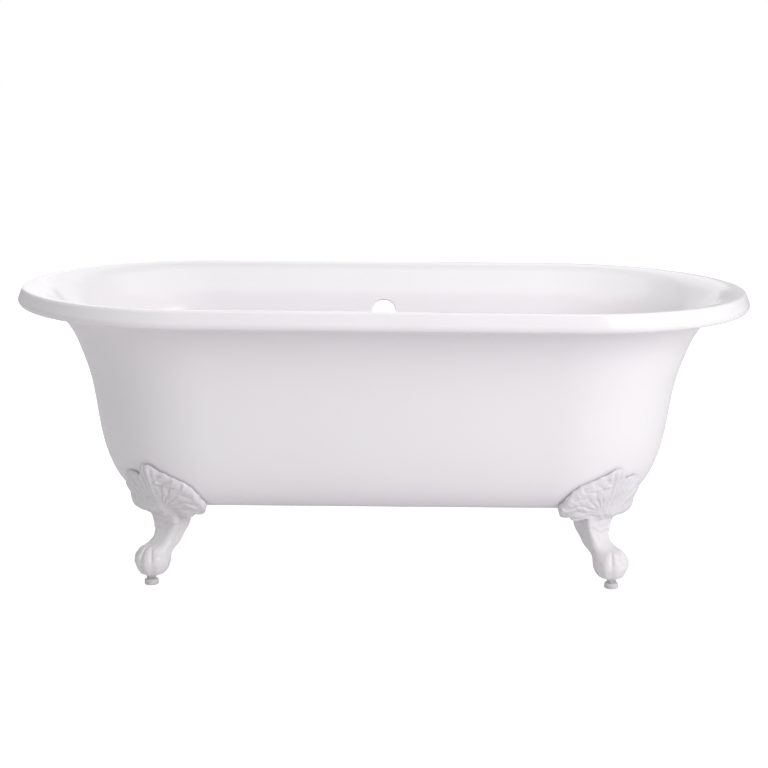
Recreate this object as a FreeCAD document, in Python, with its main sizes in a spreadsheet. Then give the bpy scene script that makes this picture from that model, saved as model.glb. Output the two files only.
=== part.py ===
import FreeCAD, Part
import math
import os
import Sketcher

# Double-ended roll-rim bathtub of enamelled cast iron on four claw feet.
# Frame: X along the tub, Y across it, +Z up. The origin is on the floor under the middle of the tub.
# The plan of the tub at any level is two half circles joined by straight runs.

V = FreeCAD.Vector
doc = FreeCAD.newDocument("clawfoot_bathtub")
sheet = doc.addObject("Spreadsheet::Sheet", "Dimensions")

# ---------------------------------------------------------------- driving dimensions
rows = [
    # overall
    ("overall_height", "604"),
    ("rim_half_width", "381"),
    ("rim_half_length", "762"),
    ("end_centre", "=rim_half_length - rim_half_width"),
    ("wall", "7.5"),
    ("floor_thickness", "8"),
    ("tub_bottom_level", "=overall_height - 440"),
    # roll rim section, seen as radius from the end centre and height
    ("roll_radius", "66.2"),
    ("crest_in", "14"),
    ("curl_radius", "11"),
    ("curl_wall", "7"),
    ("neck_level", "=overall_height - 60"),
    ("neck_outer", "295"),
    ("neck_inner", "285.7"),
    # drain and overflow
    ("drain_x", "0"),
    ("drain_y", "92"),
    ("drain_radius", "26"),
    ("drain_recess_radius", "41"),
    ("drain_recess_depth", "2.5"),
    ("drain_boss_radius", "44"),
    ("drain_boss_height", "8"),
    ("overflow_radius", "26"),
    ("overflow_drop", "101"),
    ("overflow_tilt", "15"),
    ("overflow_face_radius", "38"),
    ("overflow_face", "273"),
    ("overflow_wall", "9"),
    # foot position, in plan from the end arc's centre at the tub's bottom
    ("foot_centre_x", "350"),
    ("foot_angle", "54.7"),
    ("foot_reach", "218"),
    ("lug_reach", "110"),
    ("lug_length", "50"),
    ("lug_width", "44"),
    ("lug_height", "16"),
    ("slot_width", "11"),
    ("head_slot_width", "19"),
    ("ledge", "7.5"),
    ("shelf_thickness", "10"),
    ("shelf_width", "46"),
    ("paw_bottom", "22"),
    ("bore_radius", "6.05"),
    ("bore_depth", "34"),
    ("shield_thickness", "9"),
    # fasteners of a foot: M10
    ("bolt_radius", "5"),
    ("bolt_head", "17"),
    ("bolt_head_height", "7"),
    ("bolt_length", "37.5"),
    ("washer_radius", "10"),
    ("washer_hole", "5.25"),
    ("washer_thickness", "2"),
    ("spring_radius", "9"),
    ("spring_hole", "5.15"),
    ("spring_thickness", "2.5"),
    ("nut_flats", "16"),
    ("nut_height", "8"),
    ("shelf_hole", "5.75"),
    # leveller: M12
    ("pad_radius", "14.5"),
    ("pad_height", "12"),
    ("pad_socket_radius", "7.5"),
    ("pad_socket_depth", "5"),
    ("stud_radius", "6"),
    ("stud_top", "52"),
    ("collar_flats", "17"),
    ("collar_height", "4"),
    ("jam_flats", "19"),
    ("jam_height", "6"),
]
# outer sections of the tub wall below the rim: drop from the crest, half length, half width
outer = [
    (60, 676, 295), (90, 654.5, 281), (130, 637, 269), (180, 620.5, 257.5), (240, 609, 251), (300, 600, 246),
    (350, 588, 237), (390, 571.5, 222), (415, 554.5, 204), (432, 532, 182), (440, 503, 153),
]
# inner sections: drop from the crest, half length, half width; the wall is 7.5 to 8 thick measured square to it
inner = [
    (60, 666.7, 285.7), (90, 645.9, 272.4), (130, 629, 261), (180, 612.75, 249.75), (240, 601.4, 243.4),
    (300, 592.35, 238.35), (350, 580.1, 229.1), (385, 565.2, 215.9), (407, 548, 198), (423, 524, 173.5), (432, 496, 146),
]
for i, (d, l, w) in enumerate(outer):
    a = "abcdefghijklmn"[i]
    rows += [("outer_drop_" + a, str(d)), ("outer_length_" + a, str(l)), ("outer_width_" + a, str(w))]
for i, (d, l, w) in enumerate(inner):
    a = "abcdefghijklmn"[i]
    rows += [("inner_drop_" + a, str(d)), ("inner_length_" + a, str(l)), ("inner_width_" + a, str(w))]
# foot sections: level, centre outward and sideways in the foot's own directions, half depth, half breadth, and how
# square the section is (2 is an ellipse, more is nearer to a rectangle)
leg = [
    (22, -4, 0, 25, 25, 2.0), (30, -5, 0, 32, 32, 2.0), (46, -6, 0, 37, 37, 2.0), (62, -9, -1, 38, 37, 2.1), (74, -21, -2, 37, 35, 2.3),
    (84, -33, -5, 33, 33, 2.5), (93, -41, -6.5, 29, 32, 2.6), (104, -48, -8, 28, 34, 2.6), (118, -53, -9, 28, 38, 2.6),
    (134, -52, -10, 29, 43, 2.6), (148, -52, -10, 29, 43, 2.6),
]
for i, (z, c, side, depth, breadth, power) in enumerate(leg):
    a = "abcdefghijklmn"[i]
    rows += [("leg_level_" + a, str(z)), ("leg_centre_" + a, str(c)), ("leg_side_" + a, str(side)), ("leg_depth_" + a, str(depth)),
             ("leg_breadth_" + a, str(breadth)), ("leg_power_" + a, str(power))]

for i, (name, value) in enumerate(rows):
    cell = "A%d" % (i + 1)
    sheet.set("B%d" % (i + 1), name)
    sheet.set(cell, value)
    sheet.setAlias(cell, name)
doc.recompute()


def val(name):
    v = getattr(sheet, name)
    return float(v.Value if hasattr(v, "Value") else v)


def body_named(name):
    b = doc.addObject("PartDesign::Body", name)
    b.Label = name
    return b


def plane(body, role):
    for f in body.Origin.OriginFeatures:
        if f.Role == role:
            return f
    raise RuntimeError(role)


def sketch(body, name, role="XY_Plane", offset=None, angle=0.0):
    """A sketch on one of the body's own planes. offset holds three expressions, in the plane's own axes."""
    s = body.newObject("Sketcher::SketchObject", name)
    s.AttachmentSupport = (plane(body, role), [""])
    s.MapMode = "FlatFace"
    s.AttachmentOffset = FreeCAD.Placement(V(0, 0, 0), FreeCAD.Rotation(V(0, 0, 1), angle))
    if offset:
        for axis, e in zip("xyz", offset):
            if e is not None:
                s.setExpression("AttachmentOffset.Base." + axis, e)
    return s


def slot(s, half_length, half_width):
    """Plan section of the tub: two half circles of half_width, their centres half_length minus half_width out."""
    l, w = val(half_length), val(half_width)
    a = l - w
    g = [
        s.addGeometry(Part.LineSegment(V(-a, -w, 0), V(a, -w, 0))),
        s.addGeometry(Part.ArcOfCircle(Part.Circle(V(a, 0, 0), V(0, 0, 1), w), -math.pi / 2, math.pi / 2)),
        s.addGeometry(Part.LineSegment(V(a, w, 0), V(-a, w, 0))),
        s.addGeometry(Part.ArcOfCircle(Part.Circle(V(-a, 0, 0), V(0, 0, 1), w), math.pi / 2, 3 * math.pi / 2)),
    ]
    C = Sketcher.Constraint
    s.addConstraint([
        C("Tangent", 0, 2, 1, 1), C("Tangent", 1, 2, 2, 1), C("Tangent", 2, 2, 3, 1), C("Tangent", 3, 2, 0, 1),
        C("PointOnObject", 1, 3, -1), C("Symmetric", 1, 3, 3, 3, -1, 1),
    ])
    r = s.addConstraint(C("Radius", 1, w))
    s.setExpression("Constraints[%d]" % r, "Dimensions." + half_width)
    x = s.addConstraint(C("DistanceX", -1, 1, 1, 3, a))
    s.setExpression("Constraints[%d]" % x, "Dimensions.%s - Dimensions.%s" % (half_length, half_width))


def path(s, points, bulges=None):
    """A closed outline. points: (x expression, y expression). bulges: {edge index: (x, y of a point on the arc, radius expression)}."""
    bulges = bulges or {}
    xy = []
    for ex, ey in points:
        s2 = doc.getObject("Scratch") or doc.addObject("Spreadsheet::Sheet", "Scratch")
        s2.set("A1", "=" + ex)
        s2.set("A2", "=" + ey)
        s2.recompute()
        q = [s2.get("A1"), s2.get("A2")]
        xy.append(tuple(float(v.Value if hasattr(v, "Value") else v) for v in q))
    n = len(xy)
    C = Sketcher.Constraint
    for i in range(n):
        p, q = V(xy[i][0], xy[i][1], 0), V(xy[(i + 1) % n][0], xy[(i + 1) % n][1], 0)
        if i in bulges:
            m = V(bulges[i][0], bulges[i][1], 0)
            whole = Part.Arc(p, m, q).toShape().Curve
            c, r = whole.Center, whole.Radius
            a0, am, a1 = (math.atan2(k.y - c.y, k.x - c.x) for k in (p, m, q))
            if (am - a0) % (2 * math.pi) > (a1 - a0) % (2 * math.pi):
                a0, a1 = a1, a0
            if a1 < a0:
                a1 += 2 * math.pi
            s.addGeometry(Part.ArcOfCircle(Part.Circle(c, V(0, 0, 1), r), a0, a1))
        else:
            s.addGeometry(Part.LineSegment(p, q))
    ends = []
    for i in range(n):
        # an arc may be stored the other way round, so its own ends are read back
        g = s.Geometry[i]
        p = V(xy[i][0], xy[i][1], 0)
        ends.append((1, 2) if (g.StartPoint - p).Length < 1e-6 else (2, 1))
    for i in range(n):
        s.addConstraint(C("Coincident", i, ends[i][1], (i + 1) % n, ends[(i + 1) % n][0]))
    for i, (ex, ey) in enumerate(points):
        for kind, e, v in (("DistanceX", ex, xy[i][0]), ("DistanceY", ey, xy[i][1])):
            k = s.addConstraint(C(kind, -1, 1, i, ends[i][0], v))
            s.setExpression("Constraints[%d]" % k, e)
    for i in bulges:
        k = s.addConstraint(C("Radius", i, s.Geometry[i].Radius))
        s.setExpression("Constraints[%d]" % k, bulges[i][2])
    return xy


def D(name):
    return "Dimensions." + name


# ---------------------------------------------------------------- tub casting
tub = body_named("tub_casting")
outer_sections, inner_sections = [], []
for i in range(len(outer)):
    a = "abcdefghijklmn"[i]
    s = sketch(tub, "outer_" + a, offset=(None, None, D("overall_height") + " - " + D("outer_drop_" + a)))
    slot(s, "outer_length_" + a, "outer_width_" + a)
    outer_sections.append(s)
doc.recompute()
loft = tub.newObject("PartDesign::AdditiveLoft", "wall_outside")
loft.Profile = outer_sections[0]
loft.Sections = outer_sections[1:]
loft.Ruled = False
doc.recompute()
for i in range(len(inner)):
    a = "abcdefghijklmn"[i]
    s = sketch(tub, "inner_" + a, offset=(None, None, D("overall_height") + " - " + D("inner_drop_" + a)))
    slot(s, "inner_length_" + a, "inner_width_" + a)
    inner_sections.append(s)
doc.recompute()
cut = tub.newObject("PartDesign::SubtractiveLoft", "wall_inside")
cut.Profile = inner_sections[0]
cut.Sections = inner_sections[1:]
cut.Ruled = False
doc.recompute()

# roll rim: the section is revolved half a turn about each end centre and runs straight between them
R, H = D("rim_half_width"), D("overall_height")


def rim_points(sign, shift):
    """Outline of the rim section as (across, up) expressions."""
    s50, c50 = math.sin(math.radians(50)), math.cos(math.radians(50))
    s20, c20 = math.sin(math.radians(20)), math.cos(math.radians(20))
    s75, c75 = math.sin(math.radians(75)), math.cos(math.radians(75))
    rc = "(%s - %s)" % (R, D("crest_in"))
    rr = D("roll_radius")
    cr = D("curl_radius")
    cw = D("curl_wall")
    cx = "(%s - %s)" % (R, cr)
    cz = "(%s - 26)" % H
    p = [
        (D("neck_inner"), D("neck_level")),
        ("%s - %s * %.6f" % (rc, rr, s50), "%s - %s * %.6f" % (H, rr, 1 - c50)),
        (rc, H),
        ("%s + 7 * %.6f" % (rc, c20), "%s - 7 + 7 * %.6f" % (H, s20)),
        ("%s + %s * %.6f" % (cx, cr, c20), "%s + %s * %.6f" % (cz, cr, s20)),
        ("%s + %s * %.6f" % (cx, cr, c75), "%s - %s * %.6f" % (cz, cr, s75)),
        ("%s + (%s - %s) * %.6f" % (cx, cr, cw, c75), "%s - (%s - %s) * %.6f" % (cz, cr, cw, s75)),
        ("%s + (%s - %s) * %.6f" % (cx, cr, cw, c20), "%s + (%s - %s) * %.6f" % (cz, cr, cw, s20)),
        ("%s + 1.1" % rc, "%s - 9" % H),
        ("%s - 3" % rc, "%s - %s + sqrt((%s - %s)^2 - 9)" % (H, rr, rr, D("wall"))),
        ("%s - (%s - %s) * %.6f" % (rc, rr, D("wall"), s50), "%s - %s + (%s - %s) * %.6f" % (H, rr, rr, D("wall"), c50)),
        (D("neck_outer"), D("neck_level")),
    ]
    if shift:
        p = [("%s%s" % ("-1 * " if sign < 0 else "", "(" + x + ")"), z) for x, z in p]
    r0 = val("rim_half_width") - val("crest_in")
    h0 = val("overall_height")
    q = val("roll_radius")
    cx0, cz0 = val("rim_half_width") - val("curl_radius"), h0 - 26
    co, ci = val("curl_radius"), val("curl_radius") - val("curl_wall")
    u = q - val("wall")
    sg = -1 if (shift and sign < 0) else 1
    b = {
        1: (sg * (r0 - q * math.sin(math.radians(25))), h0 - q + q * math.cos(math.radians(25)), rr),
        2: (sg * (r0 + 7 * math.cos(math.radians(55))), h0 - 7 + 7 * math.sin(math.radians(55)), "7"),
        4: (sg * (cx0 + co * math.cos(math.radians(-27))), cz0 + co * math.sin(math.radians(-27)), cr),
        6: (sg * (cx0 + ci * math.cos(math.radians(-27))), cz0 + ci * math.sin(math.radians(-27)), "%s - %s" % (cr, cw)),
        9: (sg * (r0 - u * math.sin(math.radians(26))), h0 - q + u * math.cos(math.radians(26)), "%s - %s" % (rr, D("wall"))),
    }
    return p, b


rim_end = sketch(tub, "rim_end_section", "XZ_Plane", (D("end_centre"), None, None))
p, b = rim_points(1, False)
path(rim_end, p, b)
doc.recompute()
rev = tub.newObject("PartDesign::Revolution", "rim_end")
rev.Profile = rim_end
rev.ReferenceAxis = (rim_end, ["V_Axis"])
rev.Midplane = True
rev.Angle = 180
doc.recompute()
rim_side = sketch(tub, "rim_side_section", "YZ_Plane")
p, b = rim_points(-1, True)
path(rim_side, p, b)
doc.recompute()
pad = tub.newObject("PartDesign::Pad", "rim_side")
pad.Profile = rim_side
pad.Midplane = True
pad.setExpression("Length", "2 * " + D("end_centre"))
doc.recompute()
m1 = tub.newObject("PartDesign::Mirrored", "rim_other_end")
m1.Originals = [rev]
m1.MirrorPlane = (plane(tub, "YZ_Plane"), [""])
tub.Tip = m1
doc.recompute()
m2 = tub.newObject("PartDesign::Mirrored", "rim_other_side")
m2.Originals = [pad]
m2.MirrorPlane = (plane(tub, "XZ_Plane"), [""])
tub.Tip = m2
doc.recompute()



def lug_sketch(name, sx, sy, level, x0, x1, half):
    """A rectangle under the tub, in the frame of one foot: x runs outward from the foot's end centre."""
    ang = math.degrees(math.atan2(sy * math.sin(math.radians(val("foot_angle"))), sx * math.cos(math.radians(val("foot_angle")))))
    s = sketch(tub, name, "XY_Plane", ("%d * %s" % (sx, D("foot_centre_x")), None, level), ang)
    path(s, [(x0, "-1 * " + half), (x1, "-1 * " + half), (x1, half), (x0, half)])
    return s


corners = {"front_right": (1, -1), "front_left": (-1, -1), "rear_right": (1, 1), "rear_left": (-1, 1)}
low = "%s - %s" % (D("tub_bottom_level"), D("lug_height"))
lug_in = "%s - %s / 2" % (D("lug_reach"), D("lug_length"))
lug_out = "%s + %s / 2" % (D("lug_reach"), D("lug_length"))
for name, (sx, sy) in corners.items():
    s = lug_sketch("lug_" + name, sx, sy, low, lug_in, lug_out, D("lug_width") + " / 2")
    doc.recompute()
    f = tub.newObject("PartDesign::Pad", "lug_pad_" + name)
    f.Profile = s
    f.setExpression("Length", D("lug_height") + " + 4")
    tub.Tip = f
    doc.recompute()
    s = lug_sketch("slot_" + name, sx, sy, low, lug_in + " - 1", "%s + %s / 2" % (D("lug_reach"), D("slot_width")), D("slot_width") + " / 2")
    doc.recompute()
    f = tub.newObject("PartDesign::Pocket", "slot_cut_" + name)
    f.Profile = s
    f.Reversed = True
    f.setExpression("Length", D("lug_height"))
    tub.Tip = f
    doc.recompute()
    s = lug_sketch("head_slot_" + name, sx, sy, "%s + %s" % (low, D("ledge")), lug_in + " - 1",
                   "%s + %s / 2" % (D("lug_reach"), D("head_slot_width")), D("head_slot_width") + " / 2")
    doc.recompute()
    f = tub.newObject("PartDesign::Pocket", "head_slot_cut_" + name)
    f.Profile = s
    f.Reversed = True
    f.setExpression("Length", "%s - %s" % (D("lug_height"), D("ledge")))
    tub.Tip = f
    doc.recompute()


def circle(body, name, role, offset, radius, angle=0.0):
    s = sketch(body, name, role, offset, angle)
    s.addGeometry(Part.Circle(V(0, 0, 0), V(0, 0, 1), 10))
    s.addConstraint(Sketcher.Constraint("Coincident", 0, 3, -1, 1))
    k = s.addConstraint(Sketcher.Constraint("Radius", 0, 10))
    s.setExpression("Constraints[%d]" % k, radius)
    return s


def grow(body, name, s, length, kind="PartDesign::Pad", reverse=False, middle=False):
    doc.recompute()
    before = body.Shape.Volume if body.Tip else 0.0
    f = body.newObject(kind, name)
    f.Profile = s
    f.Reversed = reverse
    f.Midplane = middle
    f.setExpression("Length", length)
    body.Tip = f
    doc.recompute()
    change = body.Shape.Volume - before
    if (kind.endswith("Pad") and change <= 0) or (kind.endswith("Pocket") and change >= 0):
        raise RuntimeError("%s changed the volume by %g" % (name, change))
    return f


# drain: a boss under the floor, the hole, and a shallow dished seat round it
s = circle(tub, "drain_boss_outline", "XY_Plane", (D("drain_x"), D("drain_y"), "%s - %s" % (D("tub_bottom_level"), D("drain_boss_height"))), D("drain_boss_radius"))
grow(tub, "drain_boss", s, D("drain_boss_height") + " + 4")
s = circle(tub, "drain_seat_outline", "XY_Plane", (D("drain_x"), D("drain_y"), "%s + %s" % (D("tub_bottom_level"), D("floor_thickness"))), D("drain_recess_radius"))
grow(tub, "drain_seat", s, D("drain_recess_depth"), "PartDesign::Pocket")
s = circle(tub, "drain_outline", "XY_Plane", (D("drain_x"), D("drain_y"), D("tub_bottom_level")), D("drain_radius"))
grow(tub, "drain_hole", s, "60", "PartDesign::Pocket", middle=True)
# overflow: a flat boss behind the far wall and the open hole through it, square to the wall
for step, radius in (("boss", "overflow_face_radius"), ("hole", "overflow_radius")):
    s = circle(tub, "overflow_%s_outline" % step, "XZ_Plane",
               (None, "%s - %s" % (D("overall_height"), D("overflow_drop")), "-1 * " + D("overflow_face")), D(radius))
    s.AttachmentOffset = FreeCAD.Placement(s.AttachmentOffset.Base, FreeCAD.Rotation(V(1, 0, 0), -val("overflow_tilt")))
    if step == "boss":
        grow(tub, "overflow_boss", s, D("overflow_wall"), reverse=True)
    else:
        grow(tub, "overflow_hole", s, "70", "PartDesign::Pocket", middle=True)

# ---------------------------------------------------------------- a foot, modelled for the front right corner
cosf, sinf = math.cos(math.radians(val("foot_angle"))), math.sin(math.radians(val("foot_angle")))


def place_foot(o, sx=1, sy=-1, reach="foot_reach"):
    """Puts a body whose own x axis is the foot's outward direction at that foot's pad axis, or at its bolt."""
    r = val(reach)
    ang = math.degrees(math.atan2(sy * sinf, sx * cosf))
    o.Placement = FreeCAD.Placement(V(sx * (val("foot_centre_x") + r * cosf), sy * r * sinf, 0), FreeCAD.Rotation(V(0, 0, 1), ang))
    o.setExpression("Placement.Base.x", "%d * (%s + %s * %.9f)" % (sx, D("foot_centre_x"), D(reach), cosf))
    o.setExpression("Placement.Base.y", "%d * %s * %.9f" % (sy, D(reach), sinf))


# The wall's lower outside near a foot is a surface turned about the upright line through foot_centre_x.
# wall_line holds its points (drop from the crest, radius) with the small gap that the casting leaves.
wall_line = [(331, "outer_width_g + 7"), (350, "outer_width_g + 2.6"), (370, "outer_width_h + 9.4"), (390, "outer_width_h + 1"),
             (403, "outer_width_i + 10.6"), (415, "outer_width_i + 1"), (424.5, "outer_width_j + 12.4"), (432, "outer_width_j + 1.2"),
             (437.4, "outer_width_k + 17"), (440.7, "outer_width_k")]


# how many times shield_thickness the leaf is at each of those points
swell = [1, 1, 1.05, 1.2, 1.35, 1.6, 1.85, 2.05, 2.2, 2.3]


def turned(name):
    """A layer over the wall line, which swells toward its lower edge."""
    b = body_named(name)
    s = sketch(b, name + "_section", "XZ_Plane")
    line = []
    for d, e in wall_line:
        k = e.split(" ")[0]
        line.append(V(val(k) + (float(e.split("+")[1]) if "+" in e else 0.0), val("overall_height") - d, 0))
    inner_curve = Part.BSplineCurve()
    inner_curve.interpolate(Points=line)
    s.addGeometry(inner_curve)
    top, bottom = line[0], line[-1]
    w = val("shield_thickness")
    out = []
    for i, p in enumerate(line):
        q0, q1 = line[max(0, i - 1)], line[min(len(line) - 1, i + 1)]
        d = (q1 - q0).normalize()
        out.append(p + V(-d.y, d.x, 0) * w * swell[i])
    outer_curve = Part.BSplineCurve()
    outer_curve.interpolate(Points=out)
    s.addGeometry(outer_curve)
    s.addGeometry(Part.LineSegment(top, out[0]))
    s.addGeometry(Part.LineSegment(bottom, out[-1]))
    doc.recompute()
    f = b.newObject("PartDesign::Revolution", name + "_turn")
    f.Profile = s
    f.ReferenceAxis = (s, ["V_Axis"])
    f.Midplane = True
    f.Angle = 66
    doc.recompute()
    b.Placement = FreeCAD.Placement(V(val("foot_centre_x"), 0, 0), FreeCAD.Rotation(V(0, 0, 1), -val("foot_angle")))
    b.setExpression("Placement.Base.x", D("foot_centre_x"))
    return b


cover = turned("shield_layer")

core = body_named("foot_core")
sections = []
for i in range(len(leg)):
    a = "abcdefghijklmn"[i]
    s = sketch(core, "leg_" + a, offset=(D("leg_centre_" + a), D("leg_side_" + a), D("leg_level_" + a)))
    depth, breadth, power = val("leg_depth_" + a), val("leg_breadth_" + a), val("leg_power_" + a)
    # sixteen points joined by one closed spline keep every section alike
    pts = []
    for k in range(16):
        c0, s0 = math.cos(math.pi * k / 8), math.sin(math.pi * k / 8)
        pts.append(V(depth * math.copysign(abs(c0) ** (2 / power), c0), breadth * math.copysign(abs(s0) ** (2 / power), s0), 0))
    c = Part.BSplineCurve()
    c.interpolate(Points=pts, PeriodicFlag=True)
    s.addGeometry(c)
    sections.append(s)
doc.recompute()
f = core.newObject("PartDesign::AdditiveLoft", "leg_loft")
f.Profile = sections[0]
f.Sections = sections[1:]
doc.recompute()
s = sketch(core, "shelf_outline", offset=("-1 * " + D("foot_reach"), None, "%s - %s" % (low, D("shelf_thickness"))))
path(s, [(lug_in + " - 2", "-%s / 2" % D("shelf_width")), (D("foot_reach") + " - 40", "-%s / 2" % D("shelf_width")),
         (D("foot_reach") + " - 40", D("shelf_width") + " / 2"), (lug_in + " - 2", D("shelf_width") + " / 2")])
grow(core, "shelf", s, D("shelf_thickness"))
place_foot(core)

block = body_named("shield_block")
s = sketch(block, "shield_outline", "YZ_Plane", (None, None, "-70"))
outline = [(-108, 178), (-104, 162), (-95, 152), (-70, 142), (30, 142), (38, 150), (42, 162), (50, 182), (62, 205), (58, 226), (45, 240),
           (30, 243), (10, 250), (-8, 260), (-22, 266), (-40, 252), (-64, 241), (-86, 232), (-102, 220), (-108, 201)]
path(s, [(str(y), str(z)) for y, z in outline])
grow(block, "shield_prism", s, "150")
place_foot(block)
doc.recompute()

toes = []
for k, tilt in enumerate((-54, -18, 18, 54)):
    x, y, z, rx, ry, rz = -6 + 28 * math.cos(math.radians(tilt)), 28 * math.sin(math.radians(tilt)), 55, 13, 9.5, 24
    e = doc.addObject("Part::Ellipsoid", "toe_%d" % k)
    e.Angle1, e.Angle2, e.Angle3 = -90, 90, 360
    e.Radius2, e.Radius3, e.Radius1 = rx, ry, rz
    base = core.Placement
    e.Placement = base.multiply(FreeCAD.Placement(V(x, y, z), FreeCAD.Rotation(V(0, 0, 1), tilt)))
    toes.append(e)
doc.recompute()
shield = doc.addObject("Part::MultiCommon", "shield")
shield.Shapes = [block, cover]
doc.recompute()
raw = doc.addObject("Part::MultiFuse", "foot_raw")
raw.Shapes = [core, shield] + toes
doc.recompute()
bore = doc.addObject("Part::Cylinder", "stud_bore")
bore.setExpression("Radius", D("bore_radius"))
bore.setExpression("Height", D("bore_depth") + " + 10")
bore.setExpression("Placement.Base.z", D("paw_bottom") + " - 10")
bore.Placement.Base = core.Placement.Base + V(0, 0, 12)
bolt_hole = doc.addObject("Part::Cylinder", "shelf_bolt_hole")
bolt_hole.setExpression("Radius", D("shelf_hole"))
bolt_hole.Height = 40
bolt_hole.Placement.Base = V(val("foot_centre_x") + val("lug_reach") * cosf, -val("lug_reach") * sinf, 125)
# below the paw nothing of the foot may reach the jam nut
under = doc.addObject("Part::Box", "under_paw")
under.Length, under.Width, under.Height = 160, 160, 22
under.setExpression("Height", D("paw_bottom"))
under.Placement.Base = core.Placement.Base + V(-80, -80, 0)
tools = doc.addObject("Part::MultiFuse", "foot_cutters")
tools.Shapes = [bore, bolt_hole, under]
doc.recompute()
foot = doc.addObject("Part::Cut", "foot_front_right")
foot.Base, foot.Tool = raw, tools
foot.Label = "foot_front_right"
doc.recompute()

feet = {"foot_front_right": foot}
for name, source, normal in (("foot_front_left", "foot_front_right", V(1, 0, 0)), ("foot_rear_right", "foot_front_right", V(0, 1, 0)), ("foot_rear_left", "foot_front_left", V(0, 1, 0))):
    m = doc.addObject("Part::Mirroring", name)
    m.Source = feet[source]
    m.Base, m.Normal = V(0, 0, 0), normal
    m.Label = name
    doc.recompute()
    feet[name] = m


# ---------------------------------------------------------------- fasteners and levellers, one set for each foot
def hexagon(s, flats):
    """A regular hexagon about the sketch's origin, by its width across flats."""
    k = 1 / math.sqrt(3)
    e = []
    for i in range(6):
        a = math.radians(60 * i)
        e.append(("%s * %.9f" % (D(flats), k * math.cos(a)), "%s * %.9f" % (D(flats), k * math.sin(a))))
    path(s, e)


def chamfered(body, name, edges_at, size):
    """Chamfers the flat hexagon or circle edges that lie at the given heights."""
    doc.recompute()
    picked = []
    for i, e in enumerate(body.Shape.Edges):
        b = e.BoundBox
        if b.ZLength < 1e-4 and any(abs(b.ZMin - z) < 1e-4 for z, _, _ in edges_at):
            far = max(math.hypot(p.X, p.Y) for p in e.Vertexes)
            if any(abs(b.ZMin - z) < 1e-4 and lo < far < hi for z, lo, hi in edges_at):
                picked.append("Edge%d" % (i + 1))
    if not picked:
        raise RuntimeError(name + " found no edge")
    last = body.Tip
    f = body.newObject("PartDesign::Chamfer", name)
    f.Base = (last, picked)
    f.Size = size
    body.Tip = f
    doc.recompute()


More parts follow.
